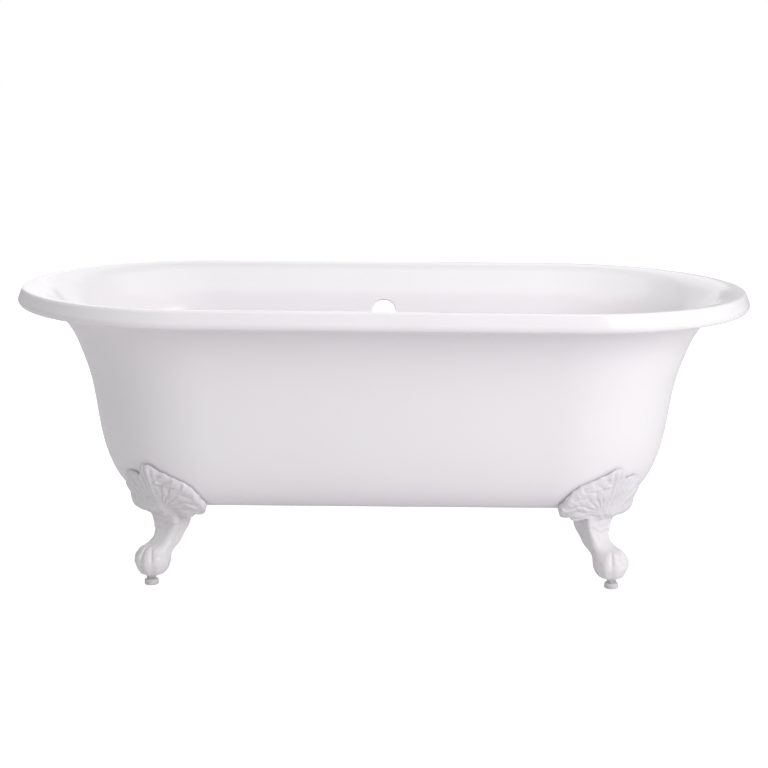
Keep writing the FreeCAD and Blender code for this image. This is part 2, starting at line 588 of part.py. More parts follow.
nodes = {"tub_casting": tub}
nodes.update(feet)
for corner, (sx, sy) in corners.items():
    # T-head bolt, hanging in the lug's slot
    top = "%s + %s" % (low, D("ledge"))
    b = body_named("foot_bolt_" + corner)
    s = sketch(b, "head_" + corner, offset=(None, None, top))
    hw = D("bolt_head") + " / 2"
    path(s, [("-" + hw, "-" + hw), (hw, "-" + hw), (hw, hw), ("-" + hw, hw)])
    grow(b, "bolt_head_" + corner, s, D("bolt_head_height"))
    s = circle(b, "shank_" + corner, "XY_Plane", (None, None, top), D("bolt_radius"))
    grow(b, "bolt_shank_" + corner, s, D("bolt_length"), reverse=True)
    chamfered(b, "bolt_point_" + corner, [(val("tub_bottom_level") - val("lug_height") + val("ledge") - val("bolt_length"), 0, 9)], 0.9)
    place_foot(b, sx, sy, "lug_reach")
    nodes["foot_bolt_" + corner] = b
    # flat washer, split spring washer, nut, stacked under the shelf
    under_shelf = "%s - %s" % (low, D("shelf_thickness"))
    b = body_named("foot_flat_washer_" + corner)
    s = circle(b, "washer_outline_" + corner, "XY_Plane", (None, None, under_shelf), D("washer_radius"))
    grow(b, "washer_disc_" + corner, s, D("washer_thickness"), reverse=True)
    s = circle(b, "washer_hole_outline_" + corner, "XY_Plane", (None, None, under_shelf), D("washer_hole"))
    grow(b, "washer_hole_" + corner, s, "10", "PartDesign::Pocket", middle=True)
    place_foot(b, sx, sy, "lug_reach")
    nodes["foot_flat_washer_" + corner] = b
    under_washer = under_shelf + " - " + D("washer_thickness")
    b = body_named("foot_spring_washer_" + corner)
    s = circle(b, "spring_outline_" + corner, "XY_Plane", (None, None, under_washer), D("spring_radius"))
    grow(b, "spring_ring_" + corner, s, D("spring_thickness"), reverse=True)
    s = circle(b, "spring_hole_outline_" + corner, "XY_Plane", (None, None, under_washer), D("spring_hole"))
    grow(b, "spring_hole_" + corner, s, "10", "PartDesign::Pocket", middle=True)
    s = sketch(b, "spring_gap_outline_" + corner, "XY_Plane", (None, None, under_washer))
    path(s, [("0", "-0.6"), ("15", "-0.6"), ("15", "0.6"), ("0", "0.6")])
    grow(b, "spring_gap_" + corner, s, "10", "PartDesign::Pocket", middle=True)
    place_foot(b, sx, sy, "lug_reach")
    nodes["foot_spring_washer_" + corner] = b
    under_spring = under_washer + " - " + D("spring_thickness")
    z_nut = val("tub_bottom_level") - val("lug_height") - val("shelf_thickness") - val("washer_thickness") - val("spring_thickness")
    b = body_named("foot_nut_" + corner)
    s = sketch(b, "nut_outline_" + corner, "XY_Plane", (None, None, under_spring))
    hexagon(s, "nut_flats")
    grow(b, "nut_hex_" + corner, s, D("nut_height"), reverse=True)
    s = circle(b, "nut_hole_outline_" + corner, "XY_Plane", (None, None, under_spring), D("bolt_radius") + " + 0.05")
    grow(b, "nut_hole_" + corner, s, "40", "PartDesign::Pocket", middle=True)
    chamfered(b, "nut_edge_" + corner, [(z_nut - val("nut_height"), 8.5, 12)], 0.6)
    place_foot(b, sx, sy, "lug_reach")
    nodes["foot_nut_" + corner] = b
    # jam nut under the paw
    b = body_named("jam_nut_" + corner)
    s = sketch(b, "jam_outline_" + corner, "XY_Plane", (None, None, D("paw_bottom")))
    hexagon(s, "jam_flats")
    grow(b, "jam_hex_" + corner, s, D("jam_height"), reverse=True)
    s = circle(b, "jam_hole_outline_" + corner, "XY_Plane", (None, None, D("paw_bottom")), D("bore_radius"))
    grow(b, "jam_hole_" + corner, s, "40", "PartDesign::Pocket", middle=True)
    chamfered(b, "jam_edge_" + corner, [(val("paw_bottom") - val("jam_height"), 9, 13)], 0.6)
    place_foot(b, sx, sy)
    nodes["jam_nut_" + corner] = b
    # leveller stud: screwed end, hex collar, and a plain spigot that turns in the pad
    b = body_named("leveller_stud_" + corner)
    s = sketch(b, "collar_outline_" + corner, "XY_Plane", (None, None, D("pad_height")))
    hexagon(s, "collar_flats")
    grow(b, "collar_" + corner, s, D("collar_height"))
    s = circle(b, "stud_outline_" + corner, "XY_Plane", (None, None, D("pad_height")), D("stud_radius"))
    grow(b, "stud_screw_" + corner, s, "%s - %s" % (D("stud_top"), D("pad_height")))
    s = circle(b, "spigot_outline_" + corner, "XY_Plane", (None, None, D("pad_height")), D("pad_socket_radius") + " - 0.05")
    grow(b, "spigot_" + corner, s, D("pad_socket_depth"), reverse=True)
    chamfered(b, "stud_point_" + corner, [(val("stud_top"), 0, 9)], 1.0)
    place_foot(b, sx, sy)
    nodes["leveller_stud_" + corner] = b
    # pad: a disc with a rounded rim and the socket
    b = body_named("leveller_pad_" + corner)
    s = circle(b, "pad_outline_" + corner, "XY_Plane", (None, None, None), D("pad_radius"))
    grow(b, "pad_disc_" + corner, s, D("pad_height"))
    s = circle(b, "socket_outline_" + corner, "XY_Plane", (None, None, D("pad_height")), D("pad_socket_radius"))
    grow(b, "pad_socket_" + corner, s, D("pad_socket_depth"), "PartDesign::Pocket")
    chamfered(b, "pad_edge_" + corner, [(0, 14, 15), (val("pad_height"), 14, 15)], 1.2)
    place_foot(b, sx, sy)
    nodes["leveller_pad_" + corner] = b

doc.recompute()
bad = [(o.Name, o.State) for o in doc.Objects if "Invalid" in o.State or "Error" in o.State]
if bad:
    raise RuntimeError("failed objects: %r" % bad)
for name, o in nodes.items():
    if o.Shape.isNull() or not o.Shape.isValid() or len(o.Shape.Solids) != 1:
        raise RuntimeError("%s: null %s, solids %d" % (name, o.Shape.isNull(), len(o.Shape.Solids)))
os.makedirs("parts", exist_ok=True)
for name, o in nodes.items():
    o.Shape.exportStep("parts/%s.step" % name)
print(len(nodes), "nodes, tub mass about", round(tub.Shape.Volume * 7.2e-6, 1), "kg, foot", round(foot.Shape.Volume * 7.2e-6, 2))
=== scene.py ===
import math
import bpy
import bmesh
import numpy as np
from mathutils import Matrix, Vector


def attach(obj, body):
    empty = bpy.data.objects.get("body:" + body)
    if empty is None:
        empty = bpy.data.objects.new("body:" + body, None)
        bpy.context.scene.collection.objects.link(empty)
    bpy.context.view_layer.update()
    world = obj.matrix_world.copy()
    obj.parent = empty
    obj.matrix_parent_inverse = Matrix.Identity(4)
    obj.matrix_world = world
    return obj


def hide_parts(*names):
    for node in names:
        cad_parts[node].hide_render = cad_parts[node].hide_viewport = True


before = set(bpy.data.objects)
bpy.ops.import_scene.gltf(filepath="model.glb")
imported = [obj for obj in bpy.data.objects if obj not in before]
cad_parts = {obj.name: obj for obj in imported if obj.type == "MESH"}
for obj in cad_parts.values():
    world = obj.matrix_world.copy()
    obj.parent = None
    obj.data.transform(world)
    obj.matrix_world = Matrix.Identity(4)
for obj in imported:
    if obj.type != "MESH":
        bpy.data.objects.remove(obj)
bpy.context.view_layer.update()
MM = 0.001
H = 604.0            # rim crest above the floor, mm

# ------------------------------------------------------------------ camera, at the photograph's angle
F_PX, CAM_Y, CAM_Z = 1587.8, -3312.9, 1084.6
PITCH, YAW, ROLL, CAM_X = 0.2069, -0.0014, -0.0094, -3.2
cp, sp, cy, sy, cr, sr = math.cos(PITCH), math.sin(PITCH), math.cos(YAW), math.sin(YAW), math.cos(ROLL), math.sin(ROLL)
right0, ahead, up0 = Vector((cy, sy, 0)), Vector((-cp * sy, cp * cy, -sp)), Vector((-sp * sy, sp * cy, cp))
right, up = right0 * cr - up0 * sr, right0 * sr + up0 * cr
cam_data = bpy.data.cameras.new("camera")
cam_data.sensor_width = 36.0
cam_data.sensor_fit = "HORIZONTAL"
cam_data.lens = F_PX / 768 * 36
cam_data.clip_end = 100
cam = bpy.data.objects.new("camera", cam_data)
bpy.context.scene.collection.objects.link(cam)
m = Matrix.Identity(4)
for i in range(3):
    m[i][0], m[i][1], m[i][2] = right[i], up[i], -ahead[i]
m[0][3], m[1][3], m[2][3] = CAM_X * MM, CAM_Y * MM, CAM_Z * MM
cam.matrix_world = m
bpy.context.scene.camera = cam


# ------------------------------------------------------------------ small tools
def spline(points, n, closed=False):
    """n points evenly spaced by length along a natural cubic spline through the given points."""
    p = np.asarray(points, float)
    t = np.r_[0, np.cumsum(np.linalg.norm(np.diff(p, axis=0), axis=1) ** 0.5)]
    k = len(t)
    hgap = np.diff(t)
    a = np.zeros((k, k))
    b = np.zeros((k, p.shape[1]))
    a[0, 0] = a[-1, -1] = 1
    for i in range(1, k - 1):
        a[i, i - 1], a[i, i], a[i, i + 1] = hgap[i - 1], 2 * (hgap[i - 1] + hgap[i]), hgap[i]
        b[i] = 6 * ((p[i + 1] - p[i]) / hgap[i] - (p[i] - p[i - 1]) / hgap[i - 1])
    sec = np.linalg.solve(a, b)
    u = np.linspace(0, t[-1], max(400, n * 8))
    i = np.clip(np.searchsorted(t, u, side="right") - 1, 0, k - 2)
    d, e, hh = (t[i + 1] - u)[:, None], (u - t[i])[:, None], hgap[i][:, None]
    q = (sec[i] * d ** 3 + sec[i + 1] * e ** 3) / (6 * hh) + (p[i] / hh - sec[i] * hh / 6) * d + (p[i + 1] / hh - sec[i + 1] * hh / 6) * e
    s = np.r_[0, np.cumsum(np.linalg.norm(np.diff(q, axis=0), axis=1))]
    w = np.linspace(0, s[-1], n)
    return np.column_stack([np.interp(w, s, q[:, j]) for j in range(q.shape[1])])


def arc(cx, cz, r, a0, a1, n):
    a = np.radians(np.linspace(a0, a1, n))
    return np.column_stack([cx + r * np.cos(a), cz + r * np.sin(a)])


def mesh_object(name, verts, faces, material=None, smooth=True):
    """verts in mm."""
    me = bpy.data.meshes.new(name)
    v = np.asarray(verts, float) * MM
    me.from_pydata([tuple(p) for p in v.tolist()], [], [list(map(int, f)) for f in faces])
    me.validate(clean_customdata=False)
    me.update()
    if smooth:
        me.polygons.foreach_set("use_smooth", np.ones(len(me.polygons), bool))
    o = bpy.data.objects.new(name, me)
    bpy.context.scene.collection.objects.link(o)
    if material:
        me.materials.append(material)
    return o


# ------------------------------------------------------------------ the tub's section
# Each point is (half width, half length, height). The plan there is two half circles of the half width joined by
# straight runs. Above the wall the rim has the same section all round.
def rim(points):
    p = np.asarray(points, float)
    return np.column_stack([p[:, 0], p[:, 0] + 381.0, p[:, 1]])


OUT = [(295, 676, 60), (281, 654.5, 90), (269, 637, 130), (257.5, 620.5, 180), (251, 609, 240), (246, 600, 300),
       (237, 588, 350), (222, 571.5, 390), (204, 554.5, 415), (182, 532, 432), (153, 503, 440)]
INN = [(285.7, 666.7, 60), (272.4, 645.9, 90), (261, 629, 130), (249.75, 612.75, 180), (243.4, 601.4, 240),
       (238.35, 592.35, 300), (229.1, 580.1, 350), (215.9, 565.2, 385), (198, 548, 407), (173.5, 524, 423), (146, 496, 432)]
RC, CRX, CRZ = 367.0, 370.0, H - 26.0     # crest radius; centre of the curled edge

roll = rim(arc(RC, H - 66.2, 66.2, 90 + 43, 90, 7))
inner_pts = [(110, 460, H - 432.0)] + [(w, l, H - d) for w, l, d in reversed(INN)] + [(300.4, 681.4, H - 42.2)] + [tuple(r) for r in roll]
inner = spline(inner_pts, 150)
floor_in = np.column_stack([np.linspace(0.5, 110, 22), np.linspace(350.5, 460, 22), np.full(22, H - 432.0)])
crest = rim(np.vstack([arc(RC, H - 7, 7, 90, 20, 9), arc(CRX, CRZ, 11, 20, -75, 22), arc(CRX + 7.5 * math.cos(math.radians(-75)), CRZ + 7.5 * math.sin(math.radians(-75)), 3.5, -75, -255, 9)[1:-1],
                       arc(CRX, CRZ, 4, -75, 20, 10), [(368.1, H - 9.6)], [(366.4, H - 8.2)], [(364.0, H - 7.6)]]))
under = rim(arc(RC, H - 66.2, 58.7, 94, 90 + 50, 16)[1:])
under_pts = [tuple(r) for r in under] + [(304.5, 685.5, H - 49.2)] + [(w, l, H - d) for w, l, d in OUT[:]] + [(120, 470, H - 440.0)]
outer = spline(under_pts, 170)
floor_out = np.column_stack([np.linspace(120, 0.5, 22), np.linspace(470, 350.5, 22), np.full(22, H - 440.0)])
long_rim = crest[:, :]
# more rows on the broad straight of the lip
lip = []
for i in range(len(long_rim) - 1):
    gap = np.linalg.norm(long_rim[i + 1] - long_rim[i])
    k = max(1, int(gap / 2.6))
    for j in range(k):
        lip.append(long_rim[i] + (long_rim[i + 1] - long_rim[i]) * j / k)
lip.append(long_rim[-1])
lip = np.array(lip)
section = np.vstack([floor_in, inner[1:], lip[1:], outer[1:], floor_out[1:]])
n_in = len(floor_in) + len(inner) - 1
print("section rows", len(section))

N_ARC, N_RUN = ((66, 46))


def ring(row):
    w, l, z = row
    a = l - w
    t = np.linspace(-math.pi / 2, math.pi / 2, N_ARC, endpoint=False)
    x = np.linspace(a, -a, N_RUN, endpoint=False)
    right_end = np.column_stack([a + w * np.cos(t), w * np.sin(t)])
    far = np.column_stack([x, np.full(N_RUN, w)])
    left_end = np.column_stack([-a - w * np.cos(t), -w * np.sin(t)])
    near = np.column_stack([-x, np.full(N_RUN, -w)])
    p = np.vstack([right_end, far, left_end, near])
    return np.column_stack([p, np.full(len(p), z)])


NR = 2 * (N_ARC + N_RUN)
grid = np.stack([ring(r) for r in section])          # rows x around x 3
NS = len(section)
vid = np.arange(NS * NR).reshape(NS, NR)
verts = [grid.reshape(-1, 3)]
faces = []
keep = np.ones((NS - 1, NR), bool)


def arc_length(i0, i1):
    return np.r_[0, np.cumsum(np.linalg.norm(np.diff(section[i0:i1 + 1][:, [0, 2]], axis=0), axis=1))]


extra = []
n_extra = [NS * NR]


def add_verts(p):
    p = np.asarray(p, float)
    verts.append(p)
    ids = np.arange(n_extra[0], n_extra[0] + len(p))
    n_extra[0] += len(p)
    return ids


def hole_window(rows, half, side=1):
    """Takes a rectangle of the grid out of the far straight wall and returns its border as vertex ids and positions."""
    i0, i1 = rows
    cols = [N_ARC + j for j in range(N_RUN)]
    # same columns on every row: those whose x on the middle row lies within half
    im = (i0 + i1) // 2
    xs = grid[im, cols, 0]
    inside = [c for c, x in zip(cols, xs) if abs(x) <= half]
    j0, j1 = inside[0], inside[-1]
    keep[i0:i1, j0:j1] = False
    loop = [(i0, j) for j in range(j0, j1)] + [(i, j1) for i in range(i0, i1)] + [(i1, j) for j in range(j1, j0, -1)] + [(i, j0) for i in range(i1, i0, -1)]
    ids = np.array([vid[a] for a in loop])
    pos = np.array([grid[a] for a in loop])
    return ids, pos


def rows_about(first, last, centre_z=None, centre_w=None, half=60.0):
    """Row range of the section within half of the point at that height or half width, between two rows."""
    seg = section[first:last]
    key = np.abs(seg[:, 2] - centre_z) if centre_z is not None else np.abs(seg[:, 0] - centre_w)
    c = first + int(np.argmin(key))
    ln = arc_length(first, last - 1)
    s0 = ln[c - first]
    inside = [first + k for k in range(len(ln)) if abs(ln[k] - s0) <= half]
    return inside[0], inside[-1]


def bridge(a, b, flip=False):
    n = len(a)
    for k in range(n):
        q = [a[k], a[(k + 1) % n], b[(k + 1) % n], b[k]]
        faces.append(q[::-1] if flip else q)


def blend_rings(loop_pos, centre, ex, ey, radius, lift, count, face):
    """Rings from the window's border to a circle of the given radius, over the wall; face(x, y) gives the wall's point."""
    out = []
    d = loop_pos - centre
    u, v = d @ ex, d @ ey
    ang = np.arctan2(v, u)
    tu, tv = radius * np.cos(ang), radius * np.sin(ang)
    for k in range(1, count + 1):
        f = k / count
        out.append(face(u + (tu - u) * f, v + (tv - v) * f))
    return ang, out


# overflow hole in the far wall
tilt = math.radians(15.0)
ov_c = np.array([0, 273.0, H - 101.0])
ov_n = np.array([0, math.cos(tilt), -math.sin(tilt)])       # outward
ov_y = np.array([0, math.sin(tilt), math.cos(tilt)])        # up along the wall
ex = np.array([1.0, 0, 0])


def wall_face(first, last):
    seg = section[first:last]
    d = np.column_stack([np.zeros(len(seg)), seg[:, 0], seg[:, 2]]) - ov_c
    v, n = d @ ov_y, d @ ov_n
    o = np.argsort(v)
    return lambda x, y: ov_c + np.outer(x, ex) + np.outer(y, ov_y) + np.outer(np.interp(y, v[o], n[o]), ov_n)


first_in, last_in = len(floor_in), n_in
first_out, last_out = n_in + len(lip) - 1, NS - len(floor_out)
ri = rows_about(first_in, last_in, centre_z=H - 101.0, half=58)
ro = rows_about(first_out, last_out, centre_z=H - 101.0, half=60)
# the two windows get the same number of rows
ni, no = ri[1] - ri[0], ro[1] - ro[0]
n = min(ni, no)
ri, ro = (ri[0] + (ni - n) // 2, ri[0] + (ni - n) // 2 + n), (ro[0] + (no - n) // 2, ro[0] + (no - n) // 2 + n)
ids_i, pos_i = hole_window(ri, 62)
ids_o, pos_o = hole_window(ro, 62)
face_i, face_o = wall_face(first_in, last_in), wall_face(first_out, last_out)
R0, RB = 26.0, 2.6
ang, rings = blend_rings(pos_i, ov_c, ex, ov_y, R0 + RB, 0, 7, face_i)
prev = ids_i
for r in rings:
    cur = add_verts(r)
    bridge(prev, cur)
    prev = cur
base = rings[-1]
for k in range(1, 6):
    a = math.radians(90 * k / 5)
    rad, dep = R0 + RB * (1 - math.sin(a)), RB * (1 - math.cos(a))
    flat = face_i(rad * np.cos(ang), rad * np.sin(ang)) + np.outer(np.full(len(ang), dep), ov_n)
    cur = add_verts(flat)
    bridge(prev, cur)
    prev = cur
inner_edge, ang_in = prev, ang
# the boss behind: wall, fillet, side, rounded edge, flat face, hole
BOSS_R, BOSS_N = 38.0, 9.0
# the outer window's border runs the other way up the wall, so it is matched to the inner one by angle
ang_o, rings = blend_rings(pos_o, ov_c, ex, ov_y, BOSS_R + 3, 0, 6, face_o)
prev = ids_o
for r in rings:
    cur = add_verts(r)
    bridge(prev, cur)
    prev = cur
wall_n = (rings[-1] - ov_c) @ ov_n


def disc(radius, level, a=None):
    a = ang_o if a is None else a
    return ov_c + np.outer(radius * np.cos(a), ex) + np.outer(radius * np.sin(a), ov_y) + np.outer(np.broadcast_to(level, len(a)), ov_n)


for k in range(1, 4):
    a = math.radians(90 * k / 3)
    prev2 = add_verts(disc(BOSS_R + 3 * (1 - math.sin(a)), wall_n + 1.2 * (1 - math.cos(a))))
    bridge(prev, prev2)
    prev = prev2
for rad, lev in [(BOSS_R, BOSS_N - 1.6), (BOSS_R - 0.45, BOSS_N - 0.5), (BOSS_R - 1.6, BOSS_N), (33.0, BOSS_N), (30.0, BOSS_N), (R0 + 1.4, BOSS_N), (R0 + 0.4, BOSS_N - 0.4), (R0, BOSS_N - 1.4)]:
    cur = add_verts(disc(rad, lev))
    bridge(prev, cur)
    prev = cur
for lev in (5.5,):
    cur = add_verts(disc(R0, lev))
    bridge(prev, cur)
    prev = cur
outer_edge = prev
# join the two sides of the hole by nearest angle: both loops have the same number of points
order_i = np.argsort(np.mod(ang_in, 2 * math.pi))
order_o = np.argsort(np.mod(ang_o, 2 * math.pi))
a_ids, b_ids = inner_edge[order_i], outer_edge[order_o]
# orientation is repaired for the whole mesh below
bridge(a_ids, b_ids)

# drain hole in the floor, with a dished seat inside and a boss below
dr_c = np.array([0, 92.0, H - 432.0])
di = rows_about(0, 60, centre_w=92.0, half=50)
do = rows_about(NS - 60, NS, centre_w=92.0, half=50)
n = min(di[1] - di[0], do[1] - do[0])
di = ((di[0] + di[1] - n) // 2, (di[0] + di[1] - n) // 2 + n)
do = ((do[0] + do[1] - n) // 2, (do[0] + do[1] - n) // 2 + n)
for which, win in (("in", di), ("out", do)):
    ids, pos = hole_window(win, 56)
    d = pos - dr_c
    a = np.arctan2(d[:, 1], d[:, 0])
    z0 = section[(win[0] + win[1]) // 2][2]
    if which == "in":
        steps = [(46, 0), (43.5, -0.1), (41.5, -0.5), (39.5, -1.3), (37, -2.1), (34, -2.5), (30, -2.5), (27.6, -2.5), (26.6, -2.8), (26.1, -3.4), (26, -4.2)]
    else:
        steps = [(47.5, 0), (45.4, -0.6), (44, -2), (44, -6.4), (43.5, -7.5), (42.4, -8), (36, -8), (30, -8), (27.2, -8), (26.3, -7.6), (26, -6.8)]
    start = np.hypot(d[:, 0], d[:, 1])
    first = steps[0][0]
    prev = ids
    for f in (0.4, 0.75, 1.0):
        rr = start + (first - start) * f
        cur = add_verts(np.column_stack([rr * np.cos(a), 92 + rr * np.sin(a), np.full(len(a), z0)]))
        bridge(prev, cur)
        prev = cur
    for rad, dz in steps[1:]:
        cur = add_verts(np.column_stack([rad * np.cos(a), 92 + rad * np.sin(a), np.full(len(a), z0 + dz)]))
        bridge(prev, cur)
        prev = cur
    o = np.argsort(np.mod(a, 2 * math.pi))
    if which == "in":
        top_ring = prev[o]
    else:
        bridge(top_ring, prev[o])

for i in range(NS - 1):
    for j in range(NR):
        if keep[i, j]:
            k = (j + 1) % NR
            faces.append((vid[i, j], vid[i, k], vid[i + 1, k], vid[i + 1, j]))
allv = np.vstack(verts)
tub = mesh_object("tub_enamelled_iron", allv, faces)
bm = bmesh.new()
bm.from_mesh(tub.data)
# the two floor seams close along the middle line
first_row = [v for v in bm.verts if v.index in set(vid[0].tolist())]
last_row = [v for v in bm.verts if v.index in set(vid[-1].tolist())]
for row in (first_row, last_row):
    for v in row:
        v.co.y = 0.0
bmesh.ops.remove_doubles(bm, verts=first_row + last_row, dist=2e-4)
bm.verts.ensure_lookup_table()
loose = [v for v in bm.verts if not v.link_faces]
bmesh.ops.delete(bm, geom=loose, context="VERTS")
bmesh.ops.recalc_face_normals(bm, faces=bm.faces)
open_edges = [e for e in bm.edges if len(e.link_faces) != 2]
print("tub verts", len(bm.verts), "faces", len(bm.faces), "open edges", len(open_edges))
bm.to_mesh(tub.data)
bm.free()
tub.data.polygons.foreach_set("use_smooth", np.ones(len(tub.data.polygons), bool))


# ------------------------------------------------------------------ a foot, carved on a fine grid in its own frame
# o runs outward through the pad's axis, t sideways toward the middle of the tub, z up; all in mm
FOOT_X, REACH, ANG = 350.0, 218.0, math.radians(54.7)
wall_pts = np.array([(247.5, 290), (244, 273), (239.6, 254), (231.4, 234), (223, 214), (214.6, 201), (205, 189), (194.4, 179.5), (183.2, 172),
                     (170, 166.6), (153, 163.3), (120, 163.2), (60, 163.2)], float)


def smin(a, b, k):
    h = np.clip(0.5 + 0.5 * (b - a) / k, 0, 1)
    return b + (a - b) * h - k * h * (1 - h)


def smax(a, b, k):
    return -smin(-a, -b, k)


def capsule(p, a, b, ra, rb):
    a, b = np.asarray(a, float), np.asarray(b, float)
    ab = b - a
    h = np.clip(((p - a) @ ab) / (ab @ ab), 0, 1)
    return np.linalg.norm(p - a - h[..., None] * ab, axis=-1) - (ra + (rb - ra) * h)


def segment_field(px, py, pts):
    """Distance to a polyline in the plane, and how far along it the nearest point is (0 to 1)."""
    best = np.full(px.shape, 1e9)
    along = np.zeros(px.shape)
    seg = np.linalg.norm(np.diff(pts, axis=0), axis=1)
    tot, acc = seg.sum(), 0.0
    for k in range(len(pts) - 1):
        a, b = pts[k], pts[k + 1]
        d = b - a
        h = np.clip(((px - a[0]) * d[0] + (py - a[1]) * d[1]) / (d @ d), 0, 1)
        r = np.hypot(px - a[0] - h * d[0], py - a[1] - h * d[1])
        m = r < best
        best = np.where(m, r, best)
        along = np.where(m, (acc + h * seg[k]) / tot, along)
        acc += seg[k]
    return best, along


def inside_outline(px, py, pts):
    """Signed distance to a closed outline: negative inside."""
    d, _ = segment_field(px, py, np.vstack([pts, pts[:1]]))
    odd = np.zeros(px.shape, bool)
    n = len(pts)
    for k in range(n):
        a, b = pts[k], pts[(k + 1) % n]
        cross = ((a[1] > py) != (b[1] > py)) & (px < (b[0] - a[0]) * (py - a[1]) / (b[1] - a[1] + 1e-9) + a[0])
        odd ^= cross
    return np.where(odd, -d, d)


fine_wall = spline(wall_pts[:11], 120)
wall_s = np.r_[0, np.cumsum(np.linalg.norm(np.diff(fine_wall, axis=0), axis=1))]
wall_tan = np.gradient(fine_wall, axis=0)
wall_tan /= np.linalg.norm(wall_tan, axis=1)[:, None]
wall_nor = np.column_stack([-wall_tan[:, 1], wall_tan[:, 0]])          # outward and down

# outline of the leaf laid flat: u sideways (toward the tub's middle), v down the wall from z 273
#   left side, lobes and notches, in (degrees round the end centre, height)
LEAF_MID = 6.0


def wall_v(z):
    return float(np.interp(-z, -fine_wall[:, 1], wall_s))


def leaf_uv(th, z):
    r = float(np.interp(-z, -fine_wall[:, 1], fine_wall[:, 0]))
    return (math.radians(th - LEAF_MID) * r, wall_v(z))


leaf_edge = [(4.8, 264.5), (7.0, 262.0), (9.2, 256.5), (11.2, 252.0), (13.8, 250.5), (15.6, 245), (18.4, 241.5), (20.4, 237), (23.2, 233),
             (24.8, 227), (27.0, 221.5), (28.2, 213), (30.0, 205), (30.8, 196), (32.6, 188), (33.2, 179), (31.6, 169)]
leaf_outer = [(-17.5, 168), (-19.3, 178), (-19.0, 187), (-17.0, 194), (-17.6, 203), (-17.4, 212), (-15.0, 218), (-15.4, 228), (-13.2, 236), (-9.0, 242.5),
              (-5.0, 242.0), (-2.4, 238.5), (-1.4, 245), (-1.4, 251), (0.2, 258), (1.8, 262.8)]
leaf_right = np.array([leaf_uv(*p) for p in leaf_edge])
leaf_left = np.array([leaf_uv(*p) for p in leaf_outer])
V_END = wall_s[-1]
leaf_outline = np.vstack([leaf_right, [[48, V_END + 26]], [[-46, V_END + 26]], leaf_left])

# the acanthus: folds that stand up and hollows between them, each a line in (u, v) with a half width and a height
V0 = wall_v(269)
ROOT_V = V_END - 30
leaf_ridges = [
    ([(-8, V0 + 4), (-5, 34), (-3, 70), (-2, ROOT_V)], 8.0, 5.4),
    ([(-19, 28), (-17, 44), (-11, 70), (-6, ROOT_V - 16)], 5.6, 3.0),
    ([(-36, 34), (-32, 52), (-22, 76), (-11, ROOT_V - 14)], 5.6, 3.4),
    ([(-54, 44), (-47, 62), (-33, 82), (-17, ROOT_V - 12)], 5.6, 3.2),
    ([(-68, 62), (-58, 76), (-42, 92), (-24, ROOT_V - 8)], 5.6, 3.0),
    ([(-74, 88), (-62, 96), (-46, 105), (-30, ROOT_V - 2)], 5.6, 2.8),
    ([(8, 20), (8, 44), (6, 70), (4, ROOT_V - 20)], 5.0, 2.2),
]
leaf_veins = [
    ([(-13, 26), (-11, 46), (-7, 74), (-4, ROOT_V - 10)], 2.8, 3.0),
    ([(-28, 30), (-25, 50), (-17, 76), (-8, ROOT_V - 14)], 2.8, 3.2),
    ([(-45, 38), (-40, 57), (-28, 79), (-14, ROOT_V - 12)], 2.8, 3.2),
    ([(-62, 52), (-53, 68), (-38, 87), (-20, ROOT_V - 10)], 2.8, 3.0),
    ([(-72, 76), (-61, 86), (-44, 98), (-27, ROOT_V - 5)], 2.8, 2.8),
    ([(2, 20), (2, 46), (1, 74), (1, ROOT_V - 12)], 2.6, 2.4),
]


